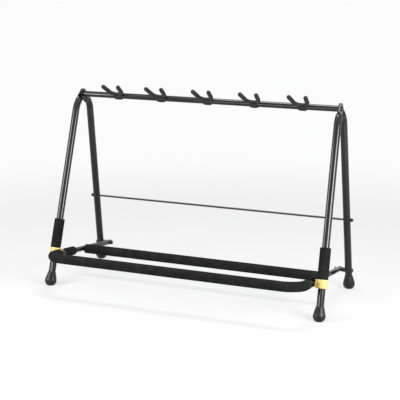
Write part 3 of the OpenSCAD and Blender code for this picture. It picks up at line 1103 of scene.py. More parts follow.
@dataclass
class Leg:
    """A bent leg, pressed flat into a tab around its hinge bolt.

    Attributes:
        edge_power: Squareness of the tab's section, where a round tube has 2.
        tip_start: First angle of the tab's round tip, just off its pole.
    """

    frame: SideFrame
    plan: LegPlan
    bolt_r: float = 0.00405
    edge_power: float = 7.0
    round_power: float = 2.0
    tip_start: float = 0.02
    tip_rows: int = 18
    tab_rows: int = 6
    press_rows: int = 26
    bend_rows: int = 28
    shank_step: float = 0.02
    sides: int = 72

    def sections(self) -> tuple[np.ndarray, np.ndarray, np.ndarray, np.ndarray]:
        """Works out the leg's sections from the tab's tip down to the foot.

        Returns:
            Centres in the plane, half widths in it, half thicknesses and the sections' squareness.
        """
        plan = self.plan
        flat = plan.tab_run - plan.press_len
        tip = -plan.tab_half * np.cos(np.linspace(self.tip_start, math.pi / 2, self.tip_rows))
        tab = np.linspace(0, flat, self.tab_rows)
        run = joined(tip, tab, np.linspace(flat, plan.tab_run, self.press_rows))
        head = run[:, None] * plan.along(plan.top_lean)
        curve = [plan.bend_point(a) for a in np.linspace(plan.top_lean, plan.lean, self.bend_rows)]
        toe = plan.toe(self.frame.floor()) - plan.sole * plan.along(plan.lean)
        centres = joined(head, np.array(curve), straight(curve[-1], toe, self.shank_step))
        rest = np.ones(len(centres) - len(run))
        press = np.clip((run - flat) / plan.press_len, 0, 1)
        press = np.concatenate([press * press * (3 - 2 * press), rest])
        round_tip = np.sqrt(np.clip(plan.tab_half ** 2 - np.minimum(run, 0) ** 2, 0, None))
        width = np.concatenate([round_tip, rest * plan.tab_half])
        width += press * (plan.tube_r - plan.tab_half)
        thick = plan.tab_t / 2 + press * (plan.tube_r - plan.tab_t / 2)
        return centres, width, thick, self.edge_power + press * (self.round_power - self.edge_power)

    def build(self, name: str) -> Object:
        """Makes the leg's mesh with its bolt hole.

        Args:
            name: The piece's name.

        Returns:
            The leg.
        """
        centres, width, thick, power = self.sections()
        course = courses(centres)
        turn = around(self.sides)
        cos, sin = np.cos(turn)[None, :], np.sin(turn)[None, :]
        bulge = 2 / power[:, None]
        across = width[:, None] * np.sign(cos) * np.abs(cos) ** bulge
        x = thick[:, None] * np.sign(sin) * np.abs(sin) ** bulge + self.plan.offset
        y = centres[:, None, 0] - across * course[:, None, 1]
        z = centres[:, None, 1] + across * course[:, None, 0]
        matrix = self.frame.matrix()
        leg = new_piece(name, loft(name, placed(matrix, np.stack([x, y, z], -1))))
        reach = self.plan.tab_half
        ends = [matrix @ Vector((self.plan.offset + aside, 0, 0)) for aside in (-reach, reach)]
        return carve(leg, rod_tool(*ends, self.bolt_r))


@dataclass
class Foot:
    """A pear-shaped rubber foot, flat where it stands.

    Attributes:
        ball_rise: Height of the ball's middle along the leg.
        taper: Slope of the neck above the ball, in degrees.
        play: Room between the rubber and the tube.
        lip: Rounding of the upper rim.
        pole: Angle at which the ball's underside is closed, in degrees.
        floor_share: Share of the bore at which the socket's floor is closed.
    """

    frame: SideFrame
    plan: LegPlan
    ball_r: float = 0.021
    ball_rise: float = 0.017
    height: float = 0.048
    taper: float = 14.0
    play: float = 0.00015
    lip: float = 0.0011
    pole: float = -89.5
    floor_share: float = 0.125
    ball_rows: int = 40
    sides: int = 96

    def profile(self) -> list[Sequence[float]]:
        """Draws the foot's outline from its underside round the rim and down into its socket.

        Returns:
            Points of radius and height.
        """
        slope = math.radians(self.taper)
        bore = self.plan.tube_r + self.play
        shoulder = self.ball_rise + self.ball_r * math.sin(slope)
        rim = self.ball_r * math.cos(slope) - (self.height - shoulder) * math.tan(slope)
        ball = arc((0.0, self.ball_rise), self.ball_r, self.pole, self.taper, self.ball_rows)
        lip = arc((rim - self.lip, self.height - self.lip), self.lip, self.taper, 90)
        floor = self.plan.sole - 2 * self.play
        return [*ball, *lip, (bore, self.height), (bore, floor), (bore * self.floor_share, floor)]

    def build(self, name: str) -> Object:
        """Makes the foot, cut flat on the floor.

        Args:
            name: The piece's name.

        Returns:
            The foot.
        """
        rings = placed(self.frame.leg_axis(self.plan, 0.0), lathe(self.profile(), self.sides))
        mesh = loft(name, rings)
        work = bmesh.new()
        work.from_mesh(mesh)
        everything = [*work.verts, *work.edges, *work.faces]
        cut = bmesh.ops.bisect_plane(
            work, geom=everything, plane_co=(0, 0, 0), plane_no=(0, 0, -1), clear_outer=True)
        rim = [part for part in cut["geom_cut"] if isinstance(part, bmesh.types.BMEdge)]
        bmesh.ops.holes_fill(work, edges=rim)
        work.to_mesh(mesh)
        work.free()
        return new_piece(name, tidy(mesh))


@dataclass
class Collar:
    """Yellow stop collar with a ledge for the base's stud.

    Attributes:
        stud: Middle of the stud's axis.
        stud_tip: X of the stud's tip on the right-hand side.
        reach: How far the ledge's block comes inwards from the leg's axis.
        room: Gap around the stud.
        edge: Rounding of the rims.
    """

    frame: SideFrame
    plan: LegPlan
    stud: Vector
    stud_tip: float
    outer_r: float = 0.018
    height: float = 0.029
    bore_r: float = 0.01255
    reach: float = 0.0227
    width: float = 0.018
    stud_r: float = 0.0045
    room: float = 0.0003
    edge: float = 0.0016
    sides: int = 96

    def rise(self) -> float:
        """Distance of the stud from the floor along the leg."""
        return self.stud.z / math.cos(self.frame.splay) / math.cos(math.radians(self.plan.lean))

    def profile(self) -> list[Sequence[float]]:
        """Draws the ring's section, with round rims outside and small bevels in the bore.

        Returns:
            Points of radius and height.
        """
        half, edge, bore = self.height / 2, self.edge, self.bore_r
        rim, bevel = self.outer_r - edge, edge / 3
        lower = arc((rim, edge - half), edge, -90, 0)
        upper = arc((rim, half - edge), edge, 0, 90)
        inside = [(bore + bevel, half), (bore, half - bevel), (bore, bevel - half), (bore + bevel, -half)]
        return [*lower, *upper, *inside]

    def build(self, name: str) -> Object:
        """Makes the collar.

        Args:
            name: The piece's name.

        Returns:
            The collar.
        """
        half = self.height / 2
        collar = new_piece(name, loft(name, lathe(self.profile(), self.sides), wrap=True))
        inner = -self.bore_r - self.edge
        block = block_tool((-self.reach, -self.width / 2, -half), (inner, self.width / 2, half))
        carve(collar, soften(block, self.edge, 3), "UNION")
        axis = self.frame.leg_axis(self.plan, self.rise())
        tip = self.frame.side.value * axis.translation.x - self.stud_tip - self.room
        ledge = self.stud_r + self.room
        outside = 2 * self.outer_r
        carve(collar, block_tool((-outside, -outside, -ledge), (-tip, ledge, self.height)))
        soften(collar, self.edge / 4, 2)
        collar.data.transform(axis)
        tidy(collar.data)
        return collar


@dataclass
class FoamTube:
    """Foam rubber around a tube: softly uneven, round at its ends and creased inside its bends.

    Attributes:
        outer_r: Outside radius.
        bore_r: Radius of the bore.
        crease: Depth of the creases on the inner side of a bend.
        pitch: Distance between creases.
        full_bend: Radius of a bend at which the creases have their full depth.
        inner_power: How closely the creases keep to the bend's inner side.
        end_round: Rounding of the ends.
        end_clear: Stretch at the ends, in roundings, that is left to the points of the rounding.
        swell: Depth of the unevenness.
        long_wave: Rate of the longest swell, in radians per metre, and so for the others.
        long_phase: Where the longest swell starts, in radians.
        short_share: Depth of the shortest swell, measured by the others.
        fold_waver: How far a crease strays from straight, in radians.
    """

    outer_r: float
    bore_r: float
    crease: float = 0.0009
    pitch: float = 0.0085
    full_bend: float = 0.05
    inner_power: float = 1.5
    end_round: float = 0.0028
    end_clear: float = 1.2
    swell: float = 0.00012
    long_wave: float = 23.0
    long_phase: float = 1.3
    middle_wave: float = 61.0
    short_wave: float = 137.0
    fold_wave: float = 90.0
    fold_waver: float = 0.4
    short_share: float = 0.6
    end_rows: int = 7
    sides: int = 72

    def build(self, name: str, line: np.ndarray, flat: np.ndarray) -> Object:
        """Makes the foam along a line in a plane.

        Args:
            name: The piece's name.
            line: Points of the axis, close together where it bends.
            flat: Normal of the plane that holds the line.

        Returns:
            The foam as a closed sleeve.
        """
        line = self.with_round_ends(line)
        course = courses(line)
        side = np.cross(flat, course)
        run = np.concatenate([[0], np.cumsum(np.linalg.norm(np.diff(line, axis=0), axis=1))])
        turning = np.gradient(course, axis=0) / np.maximum(np.gradient(run), TINY)[:, None]
        radius = self.radii(run, np.einsum("ij,ij->i", turning, side))
        turn = around(self.sides)
        spoke = np.cos(turn)[None, :, None] * side[:, None, :] + np.sin(turn)[None, :, None] * flat
        outer = line[:, None, :] + radius[:, :, None] * spoke
        inner = line[:, None, :] + self.bore_r * spoke
        return new_piece(name, loft(name, np.concatenate([outer, inner[::-1]]), wrap=True))

    def with_round_ends(self, line: np.ndarray) -> np.ndarray:
        """Adds points near both ends of a line, where the foam rounds over.

        Args:
            line: Points of the axis.

        Returns:
            The line with its new points.
        """
        depth = self.end_round * (1 - np.cos(np.linspace(0, math.pi / 2, self.end_rows)))
        ends = []
        away = np.full(len(line), np.inf)
        for tip, second in ((line[0], line[1]), (line[-1], line[-2])):
            way = (second - tip) / np.linalg.norm(second - tip)
            ends.append(tip + depth[:, None] * way)
            away = np.minimum(away, np.linalg.norm(line - tip, axis=1))
        return np.concatenate([ends[0], line[away > self.end_round * self.end_clear], ends[1][::-1]])

    def radii(self, run: np.ndarray, inward: np.ndarray) -> np.ndarray:
        """Works out the foam's radius at every point of its skin.

        Args:
            run: Distance along the axis.
            inward: Curvature of the axis towards the side direction.

        Returns:
            Radii by ring and side.
        """
        turn = around(self.sides)[None, :]
        s = run[:, None]
        wave = np.sin(s * self.middle_wave + 2 * np.sin(turn))
        wave += np.sin(s * self.long_wave + turn + self.long_phase)
        wave += self.short_share * np.sin(s * self.short_wave + 3 * turn)
        uneven = self.swell * (1 + wave / (2 + self.short_share))
        inner_side = np.clip(np.cos(turn) * np.sign(inward)[:, None], 0, 1) ** self.inner_power
        bent = np.clip(np.abs(inward) * self.full_bend, 0, 1)[:, None]
        waver = self.fold_waver * np.sin(2 * turn + s * self.fold_wave)
        fold = np.abs(np.sin(math.pi * s / self.pitch + waver))
        radius = self.outer_r - uneven - self.crease * bent * inner_side * (1 - fold)
        short = np.clip(self.end_round - np.minimum(s, run[-1] - s), 0, None)
        return radius - self.end_round + np.sqrt(np.clip(self.end_round ** 2 - short ** 2, 0, None))


@dataclass
class BaseFrame:
    """Fold-up base: a tube bent into a U, and the foam on its bars and arms.

    Attributes:
        tail: How far the arms go on behind the pivot.
        foam_return: How far the front bar's foam comes back along the arms.
        play: Room between foam and tube.
        tube_step: Distance between points in the tube's corners.
        foam_step: Distance between points in the foam's corners.
        run_step: Distance between points on straight bars.
        sleeve_step: Distance between points on the arms' sleeves.
    """

    tubes: TubeTree
    finishes: Finishes
    tube_r: float = 0.0095
    wall: float = 0.0015
    corner_r: float = 0.065
    tail: float = 0.012
    foam_r: float = 0.017
    foam_return: float = 0.092
    sleeve_r: float = 0.0159
    bolt_r: float = 0.00405
    stud_r: float = 0.00305
    play: float = 0.00015
    tube_step: float = 0.003
    foam_step: float = 0.0014
    run_step: float = 0.006
    sleeve_step: float = 0.004

    def __post_init__(self) -> None:
        """Reads the base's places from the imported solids."""
        self.pivot = Vector(joint("base_fold")["pos_m"])
        rear = box_middle("rear_bar_foam") - self.pivot
        self.tilt = math.atan2(rear.z, -rear.y)
        self.rear_reach = math.hypot(rear.y, rear.z)
        self.arm_x = box_middle("arm_sleeve_right").x
        low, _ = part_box("base_frame")
        self.reach = (self.pivot.y - low.y - self.tube_r) / math.cos(self.tilt)

    def matrix(self) -> Matrix:
        """Carries the base's own plane, with y back from the pivot, to the rack's frame."""
        return Matrix.Translation(self.pivot) @ Matrix.Rotation(-self.tilt, 4, "X")

    def lay(self, flat_points: np.ndarray) -> np.ndarray:
        """Points of the base's plane in the rack's frame."""
        return placed(self.matrix(), np.pad(flat_points, ((0, 0), (0, 1))))

    def normal(self) -> np.ndarray:
        """Normal of the base's plane."""
        return np.array(self.matrix().to_3x3() @ Vector((0, 0, 1)))

    def u_line(self, back: float, step: float) -> np.ndarray:
        """Draws the axis of the U from one arm round the front bar to the other.

        Args:
            back: Where the arms end, measured back from the pivot.
            step: Distance between points in the corners.

        Returns:
            Points in the base's plane.
        """
        x = self.arm_x - self.corner_r
        y = self.corner_r - self.reach
        left = straight((-self.arm_x, back), (-self.arm_x, y), self.run_step)
        turn_left = fine_arc((-x, y), self.corner_r, 180, 270, step)
        front = straight((-x, -self.reach), (x, -self.reach), self.run_step)
        turn_right = fine_arc((x, y), self.corner_r, 270, 360, step)
        right = straight((self.arm_x, y), (self.arm_x, back), self.run_step)
        return joined(left, turn_left, front, turn_right, right)

    def build_tube(self) -> Object:
        """Makes the U with holes for its pivot bolts and rest studs.

        Returns:
            The tube.
        """
        slot = "gloss_black_steel"
        line = self.lay(self.u_line(self.tail, self.tube_step))
        tube = self.tubes.sweep("base_tube", line, self.tube_r, self.wall, self.finishes.by_slot[slot])
        stud = box_middle("rest_studs")
        for side in Side:
            drill(tube, Vector((side.value * self.arm_x, *self.pivot.yz)), self.bolt_r)
            drill(tube, Vector((side.value * self.arm_x, *stud.yz)), self.stud_r)
        tidy(tube.data)
        return self.finishes.mount(tube, "base_frame", "base", slot)

    def foam_lines(self) -> dict[str, tuple[np.ndarray, float]]:
        """Works out where the foam goes.

        Returns:
            Points of each foam piece's axis in the base's plane, and its radius, by node.
        """
        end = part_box("rear_bar_foam")[1].x
        rear = straight((-end, -self.rear_reach), (end, -self.rear_reach), self.run_step)
        front = self.u_line(self.foam_return - self.reach, self.foam_step)
        lines = {"front_bar_foam": (front, self.foam_r), "rear_bar_foam": (rear, self.foam_r)}
        cos, sin = math.cos(self.tilt), math.sin(self.tilt)
        for side in Side:
            node = f"arm_sleeve_{side.word}"
            low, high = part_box(node)
            half = (high.y - low.y - 2 * self.sleeve_r * sin) / cos / 2
            middle = box_middle(node) - self.pivot
            back = middle.y * cos - middle.z * sin
            x = side.value * self.arm_x
            lines[node] = (straight((x, back - half), (x, back + half), self.sleeve_step), self.sleeve_r)
        return lines

    def build(self) -> list[Object]:
        """Makes the frame's tube and every foam piece.

        Returns:
            The pieces.
        """
        pieces = [self.build_tube()]
        for node, (line, radius) in self.foam_lines().items():
            tube = FoamTube(radius, self.tube_r + self.play)
            foam = tube.build(f"foam_{node}", self.lay(line), self.normal())
            pieces.append(self.finishes.mount_foam(foam, node, "base"))
        return pieces


@dataclass
class SideSet:
    """Both legs of one side with their feet, and the front leg's sleeve and collar."""

    side: Side
    finishes: Finishes
    sleeve_r: float = 0.0183
    sleeve_len: float = 0.104
    bolt_r: float = 0.00405
    rod_r: float = 0.00355
    play: float = 0.00015
    sleeve_step: float = 0.004

    def __post_init__(self) -> None:
        """Finds the side's plane and the place of its collar."""
        self.plane = SideFrame.of(self.side)
        stud_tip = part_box("rest_studs")[1].x
        self.collar = Collar(self.plane, FRONT_LEG, box_middle("rest_studs"), stud_tip)

    def build_leg(self, plan: LegPlan, name: str) -> Object:
        """Makes a leg, with holes for pivot bolt and rod in a rear one.

        Args:
            plan: The leg's sizes.
            name: The piece's name.

        Returns:
            The leg.
        """
        leg = Leg(self.plane, plan).build(name)
        if plan.stand is Stand.REAR:
            x = box_middle(f"rear_leg_{self.side.word}").x
            for node, radius in (("pivot_bolts", self.bolt_r), ("back_rod", self.rod_r)):
                drill(leg, Vector((x, *box_middle(node).yz)), radius)
        tidy(leg.data)
        return leg

    def build_sleeve(self, name: str) -> Object:
        """Makes the foam sleeve on the front leg, just above the collar.

        Args:
            name: The piece's name.

        Returns:
            The sleeve.
        """
        rise = self.collar.rise() + self.collar.height / 2 + self.collar.room
        axis = self.plane.leg_axis(FRONT_LEG, rise)
        line = placed(axis, straight((0, 0, 0), (0, 0, self.sleeve_len), self.sleeve_step))
        flat = np.array(axis.to_3x3() @ Vector((1, 0, 0)))
        return FoamTube(self.sleeve_r, FRONT_LEG.tube_r + self.play).build(name, line, flat)

    def build(self) -> list[Object]:
        """Makes every piece of the side.

        Returns:
            The pieces.
        """
        word = self.side.word
        swinging = f"front_leg_{word}"
        mount = self.finishes.mount
        pieces = []
        for plan, body, slot in (
            (REAR_LEG, "rear_frame", "satin_black_steel"),
            (FRONT_LEG, swinging, "gloss_black_steel"),
        ):
            label = plan.stand.word
            leg = self.build_leg(plan, f"{label}_tube_{word}")
            foot = Foot(self.plane, plan).build(f"{label}_rubber_{word}")
            pieces.append(mount(leg, f"{label}_leg_{word}", body, slot))
            pieces.append(mount(foot, f"{label}_foot_{word}", body, "foot_rubber"))
        collar = self.collar.build(f"collar_{word}")
        pieces.append(mount(collar, f"stop_collar_{word}", swinging, "yellow_plastic"))
        sleeve = self.build_sleeve(f"foam_leg_sleeve_{word}")
        pieces.append(self.finishes.mount_foam(sleeve, f"leg_sleeve_{word}", swinging))
        return pieces


@dataclass
class Yoke:
    """Snap-on yoke for one guitar's neck, with rubber pads on its prongs.

    Attributes:
        number: The yoke's number, from the left.
        tilt: Rise of the fork above level, in degrees.
        hub_top: Height of the hub above the bar's axis.
        hub_taper: How far the hub's swell runs out towards its ends.
        rim_start: Share of the half length at which the hub's ends begin to round.
        rim_floor: Smallest share of the rounding at the very end.
        rim_draw: How much the ends draw in.
        slot_half: Half the height of the snap-on slot.
        prong_half: Half the distance between the prongs' tips.
        prong_reach: Distance of the pads' ends from the bar's axis.
        spread: Angle of the arms where they leave the hub, in degrees.
        flare: Angle of the prongs, in degrees.
        gap: How far the arms start inside the hub's skin.
        step_run: Stretch in which an arm turns into its slimmer pin.
        pad_play: Room between pad and pin.
        pad_lip: Rounding of the pad's rim.
        voxel: Size of the mould's cells.
        smoothing: Rounds of smoothing that draw the fillets.
        smooth_share: How far each round moves a point.
        pole: Angle at which the pad's round tip is closed, in degrees.
        point_r: Share of the bore at which its drilled point is closed.
        point_rise: Height of that point, as a share of the bore.
    """

    number: int
    finishes: Finishes
    pairs: PairTree
    tilt: float = 31.0
    hub_r: float = 0.0147
    hub_half: float = 0.015
    hub_top: float = 0.012
    hub_taper: float = 0.93
    rim_start: float = 0.86
    rim_floor: float = 0.09
    rim_draw: float = 0.3
    bore_r: float = 0.01056
    slot_half: float = 0.007
    arm_r: float = 0.00675
    pin_r: float = 0.004
    pad_r: float = 0.0075
    prong_half: float = 0.029
    prong_reach: float = 0.082
    bend_r: float = 0.020
    spread: float = 50.0
    flare: float = 7.0
    gap: float = 0.0003
    step_run: float = 0.001
    arm_step: float = 0.002
    bend_step: float = 0.0012
    pad_play: float = 0.00005
    pad_lip: float = 0.0011
    pole: float = 89.0
    point_r: float = 0.1
    point_rise: float = 0.25
    voxel: float = 0.00062
    smoothing: int = 7
    smooth_share: float = 0.5
    hub_rows: int = 41
    hub_sides: int = 96
    arm_sides: int = 32
    pad_sides: int = 48
    pad_rows: int = 16
    bore_sides: int = 128

    def __post_init__(self) -> None:
        """Lays out the right-hand arm in the fork's plane, with x to the side and y forward."""
        spread, flare = math.radians(self.spread), math.radians(self.flare)
        self.slant = np.array([math.sin(spread), math.cos(spread)])
        self.way = np.array([math.sin(flare), math.cos(flare)])
        self.tip = np.array([self.prong_half, self.prong_reach - self.pad_r])
        out, up = self.slant
        self.root = np.array([self.arm_r * up + self.gap, self.hub_r - self.arm_r * out - self.gap])
        x, y = self.tip - self.root
        run = (x * self.way[1] - y * self.way[0]) / (out * self.way[1] - up * self.way[0])
        corner = self.root + run * self.slant
        bend_run = self.bend_r * math.tan((spread - flare) / 2)
        self.bend_start = corner - bend_run * self.slant
        self.pad_start = corner + bend_run * self.way

    def matrix(self) -> Matrix:
        """Carries the yoke's own frame, with y forward along the fork, to the rack's.

        Returns:
            The frame.
        """
        _, y, z = joint("front_leg_right_fold")["pos_m"]
        spot = Vector((box_middle(f"yoke_{self.number}").x, y, z))
        turn = Matrix.Rotation(math.radians(-self.tilt), 4, "X")
        return Matrix.Translation(spot) @ turn @ Matrix.Diagonal((1, -1, 1, 1))

    def arm_line(self) -> np.ndarray:
        """Draws the axis of the right-hand arm, from inside the hub to the prong's end.

        Returns:
            Points in the fork's plane.
        """
        centre = self.bend_start + self.bend_r * np.array([-self.slant[1], self.slant[0]])
        curve = fine_arc(centre, self.bend_r, -self.spread, -self.flare, self.bend_step)
        root = straight(self.root, self.bend_start, self.arm_step)
        return joined(root, curve, straight(curve[-1], self.tip, self.arm_step))

    def arm_rings(self, side: Side) -> np.ndarray:
        """Draws the rings of one arm, slimmer where the pad covers it.

        Args:
            side: Which of the two arms.

        Returns:
            Points by ring, side and axis.
        """
        line = self.arm_line()
        course = courses(line)
        covered = np.clip((line - self.pad_start) @ self.way / self.step_run, 0, 1)
        radius = (self.arm_r + covered * (self.pin_r - self.arm_r))[:, None]
        across = radius * np.cos(around(self.arm_sides))
        x = line[:, None, 0] + across * course[:, None, 1]
        y = line[:, None, 1] - across * course[:, None, 0]
        return np.stack([side.value * x, y, radius * np.sin(around(self.arm_sides))], -1)

    def hub_rings(self) -> np.ndarray:
        """Draws the rings of the hub: level with the bar on top, and swelling like a hull below it.

        Returns:
            Points by ring, side and axis.
        """
        along = np.linspace(-1, 1, self.hub_rows)
        swell = np.sqrt(1 - (self.hub_taper * along) ** 2)
        rim = ((np.abs(along) - self.rim_start) / (1 - self.rim_start)).clip(0, 1)
        draw = self.rim_draw * np.sqrt(np.clip(1 - rim ** 2, self.rim_floor, 1))
        drop = ((self.hub_r - self.hub_top) / 2 * swell)[:, None]
        radius = (self.hub_top + drop) * (1 - self.rim_draw + draw)[:, None]
        tilt = math.radians(self.tilt)
        turn = around(self.hub_sides)
        y = radius * np.cos(turn) - drop * math.sin(tilt)
        z = radius * np.sin(turn) - drop * math.cos(tilt)
        x = np.repeat(self.hub_half * along[:, None], self.hub_sides, 1)
        return np.stack([x, y, z], -1)

    def build_body(self) -> Object:
        """Moulds hub and arms into one piece with soft fillets.

        Returns:
            The yoke without its pads.
        """
        name = f"neck_yoke_{self.number}"
        hub = new_piece(name, loft(name, self.hub_rings()))
        for side in Side:
            carve(hub, new_piece("tool", loft("tool", self.arm_rings(side))), "UNION")
        mould = hub.modifiers.new("mould", "REMESH")
        mould.mode = "VOXEL"
        mould.voxel_size = self.voxel
        smooth = hub.modifiers.new("fillets", "SMOOTH")
        smooth.factor = self.smooth_share
        smooth.iterations = self.smoothing
        settle(hub)
        length, deep = 2 * self.hub_half, 2 * self.hub_r
        aside = Vector((length, 0, 0))
        carve(hub, rod_tool(-aside, aside, self.bore_r, self.bore_sides))
        carve(hub, block_tool((-length, -deep, -self.slot_half), (length, 0, self.slot_half)))
        hub.data.transform(self.matrix())
        tidy(hub.data)
        return hub

    def pad_profile(self) -> list[Sequence[float]]:
        """Draws a pad's outline from its round tip over the rim and up its bore.

        Returns:
            Points of radius and height, from the middle of the tip.
        """
        lip, bore = self.pad_lip, self.pin_r + self.pad_play
        start = self.pad_play - float(np.linalg.norm(self.tip - self.pad_start))
        tip = arc((0, 0), self.pad_r, self.pole, 0, self.pad_rows)
        rim = arc((self.pad_r - lip, start + lip), lip, 0, -90)
        bevel = lip / 2
        point = (bore * self.point_r, bore * self.point_rise)
        return [*tip, *rim, (bore + bevel, start), (bore, start + bevel), (bore, 0), point]

    def build_pads(self) -> Object:
        """Makes both rubber pads as cups over the prongs.

        Returns:
            The pads.
        """
        seed = loft("pad", lathe(self.pad_profile(), self.pad_sides))
        seed.transform(Matrix.Rotation(-math.pi / 2, 4, "X"))
        rubber = self.finishes.by_slot["pad_rubber"]
        flare = math.radians(self.flare)
        pads = self.pairs.place(f"prong_rubber_{self.number}", seed, *self.tip, flare, rubber)
        pads.data.transform(self.matrix())
        tidy(pads.data)
        return pads

    def build(self) -> list[Object]:
        """Makes the yoke and its pads, and sets them on the yoke's body.

        Returns:
            The pieces.
        """
        body = f"yoke_{self.number}"
        hub = self.finishes.mount(self.build_body(), body, body, "yoke_plastic")
        pads = self.finishes.mount(self.build_pads(), f"prong_pads_{self.number}", body, "pad_rubber")
        return [hub, pads]


@dataclass
class CrossBars:
    """Top bar and back rod of the rear frame."""

    tubes: TubeTree
    finishes: Finishes
    wall: float = 0.0015
    step: float = 0.05

    def build(self) -> list[Object]:
        """Makes both bars from their solids' boxes.

        Returns:
            The bars.
        """
        pieces = []
        for node, slot, name in (
            ("top_bar", "gloss_black_steel", "yoke_bar"),
            ("back_rod", "satin_black_steel", "rear_rod"),
        ):
            low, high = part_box(node)
            middle = box_middle(node).yz
            line = straight((low.x, *middle), (high.x, *middle), self.step)
            radius = (high.z - low.z) / 2
            bar = self.tubes.sweep(name, line, radius, self.wall, self.finishes.by_slot[slot])
            pieces.append(self.finishes.mount(bar, node, "rear_frame", slot))
        return pieces


@dataclass(frozen=True)
class Viewpoint:
    """Camera at the photograph's place, fitted to the legs, bars and feet."""

    azimuth: float = 22.9248
    elevation: float = 13.2211
    distance: float = 3.922
    aim_x: float = -0.0213
    aim_z: float = 0.3032
    lens: float = 99.3
    sensor: float = 36.0

    def build(self) -> Object:
        """Makes the scene's camera.

        Returns:
            The camera.
        """
        a, e = math.radians(self.azimuth), math.radians(self.elevation)
        back = Vector((math.sin(a) * math.cos(e), -math.cos(a) * math.cos(e), math.sin(e)))
        aim = Vector((self.aim_x, joint("front_leg_right_fold")["pos_m"][1], self.aim_z))
        camera = bpy.data.objects.new("camera", bpy.data.cameras.new("camera"))
        camera.data.lens = self.lens
        camera.data.sensor_width = self.sensor
        camera.location = aim + back * self.distance
        camera.rotation_mode = "QUATERNION"
        camera.rotation_quaternion = (-back).to_track_quat("-Z", "Y")
        bpy.context.scene.collection.objects.link(camera)
        bpy.context.scene.camera = camera
        return camera


@dataclass(frozen=True)
class SoftBox:
    """One studio light, aimed at the rack's middle."""

    name: str
    place: tuple[float, float, float]
    width: float
    height: float
    power: float

    def build(self) -> Object:
        """Makes the light.

        Returns:
            The light.
        """
        lamp = bpy.data.lights.new(self.name, "AREA")
        lamp.shape = "RECTANGLE"
        lamp.size = self.width
        lamp.size_y = self.height
        lamp.energy = self.power
        light = bpy.data.objects.new(self.name, lamp)
        light.visible_camera = False
        light.location = self.place
        light.rotation_mode = "QUATERNION"
        light.rotation_quaternion = (RACK_MIDDLE - Vector(self.place)).to_track_quat("-Z", "Y")
        bpy.context.scene.collection.objects.link(light)
        return light


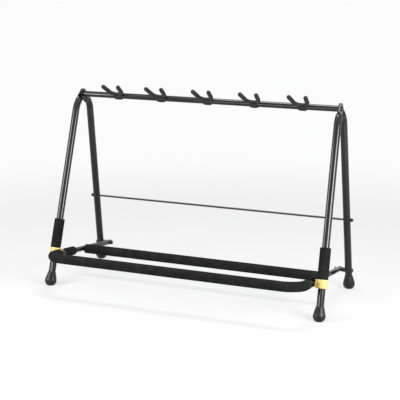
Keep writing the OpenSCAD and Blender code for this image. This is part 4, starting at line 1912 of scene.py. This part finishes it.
@dataclass(frozen=True)
class Studio:
    """White studio: pale floor, soft lights and a white surround.

    Attributes:
        glow_share: How much of the floor's white near the rack is glow and takes no shadow.
        near: Distance from the middle at which that share begins to grow.
        far: Distance at which the floor is all glow.
        ambient: Strength of the surround's own light.
    """

    floor_half: float = 60.0
    paper: Color = (0.70, 0.70, 0.705, 1.0)
    glow: Color = (0.975, 0.975, 0.98, 1.0)
    glow_share: float = 0.69
    near: float = 0.7
    far: float = 2.6
    ambient: float = 0.16
    boxes: tuple[SoftBox, ...] = (
        SoftBox("left_box", (-1.40, -1.20, 0.83), 0.7, 0.80, 22.0),
        SoftBox("right_box", (1.6, -0.6, 0.66), 0.75, 0.70, 30.0),
        SoftBox("top_box", (0.0, 0.25, 2.2), 1.2, 0.6, 32.0),
        SoftBox("left_strip", (-1.02, -0.93, 2.03), 0.28, 1.7, 5.0),
        SoftBox("right_strip", (1.31, -0.48, 2.03), 0.28, 1.7, 4.0),
        SoftBox("line_box", (-0.33, -1.60, 0.48), 0.75, 0.24, 6.0),
    )

    def shown(self, sketch: NodeSketch) -> NodeSocket:
        """Finds the rays that see the surround: from the camera, in gloss or through glass.

        Args:
            sketch: The tree of the floor or the world.

        Returns:
            1 for such rays and 0 for others.
        """
        path = sketch.add("ShaderNodeLightPath").outputs
        seen = sketch.math("MAXIMUM", path["Is Camera Ray"], path["Is Glossy Ray"])
        return sketch.math("MAXIMUM", seen, path["Is Transmission Ray"])

    def build_floor(self) -> Object:
        """Makes the floor, which keeps part of the rack's shadow under a white glow.

        Returns:
            The floor.
        """
        h = self.floor_half
        points = np.array([(-h, -h, 0), (h, -h, 0), (h, h, 0), (-h, h, 0)], float)
        floor = new_piece("floor", mesh_of("floor", points, [(0, 1, 2, 3)]))
        material = bpy.data.materials.new("pale_floor")
        material.use_nodes = True
        material.node_tree.nodes.clear()
        sketch = NodeSketch(material.node_tree)
        paper = sketch.out("ShaderNodeBsdfDiffuse", {"Color": self.paper})
        glow = sketch.out("ShaderNodeEmission", {"Color": self.glow, "Strength": 1.0})
        away = sketch.add("ShaderNodeVectorMath", {0: sketch.spot()}, operation="LENGTH").outputs["Value"]
        spread = sketch.ramp(away, (self.near, self.far), (self.glow_share, 1.0))
        share = sketch.math("MULTIPLY", self.shown(sketch), spread)
        both = sketch.out("ShaderNodeMixShader", {0: share, 1: paper, 2: glow})
        sketch.add("ShaderNodeOutputMaterial", {"Surface": both})
        floor.data.materials.append(material)
        floor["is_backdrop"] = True
        return floor

    def build(self) -> None:
        """Makes the floor, the surround and the lights."""
        scene = bpy.context.scene
        scene.view_settings.view_transform = "Standard"
        self.build_floor()
        scene.world = bpy.data.worlds.new("studio")
        scene.world.use_nodes = True
        scene.world.node_tree.nodes.clear()
        sketch = NodeSketch(scene.world.node_tree)
        strength = sketch.ramp(self.shown(sketch), (0.0, 1.0), (self.ambient, 1.0))
        surround = sketch.out("ShaderNodeBackground", {"Color": WHITE, "Strength": strength})
        sketch.add("ShaderNodeOutputWorld", {"Surface": surround})
        for box in self.boxes:
            box.build()


def main() -> None:
    """Builds the studio and the rack's looks, and reports each piece."""
    logging.basicConfig(level=logging.INFO, format="%(name)s: %(message)s")
    Viewpoint().build()
    Studio().build()
    finishes = Finishes(Effects())
    finishes.dress_solids()
    tubes, pairs = TubeTree(), PairTree()
    assemblies = [
        CrossBars(tubes, finishes),
        *[SideSet(side, finishes) for side in Side],
        BaseFrame(tubes, finishes),
        *[Yoke(number, finishes, pairs) for number in YOKES],
    ]
    for assembly in assemblies:
        for piece in assembly.build():
            LOG.info("%s has %d faces", piece.name, len(piece.data.polygons))
    boxes = {"solids": SOLID_BOX, "looks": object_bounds()}
    {key: [list(corner) for corner in box] for key, box in boxes.items()}


if __name__ == "__main__":
    main()
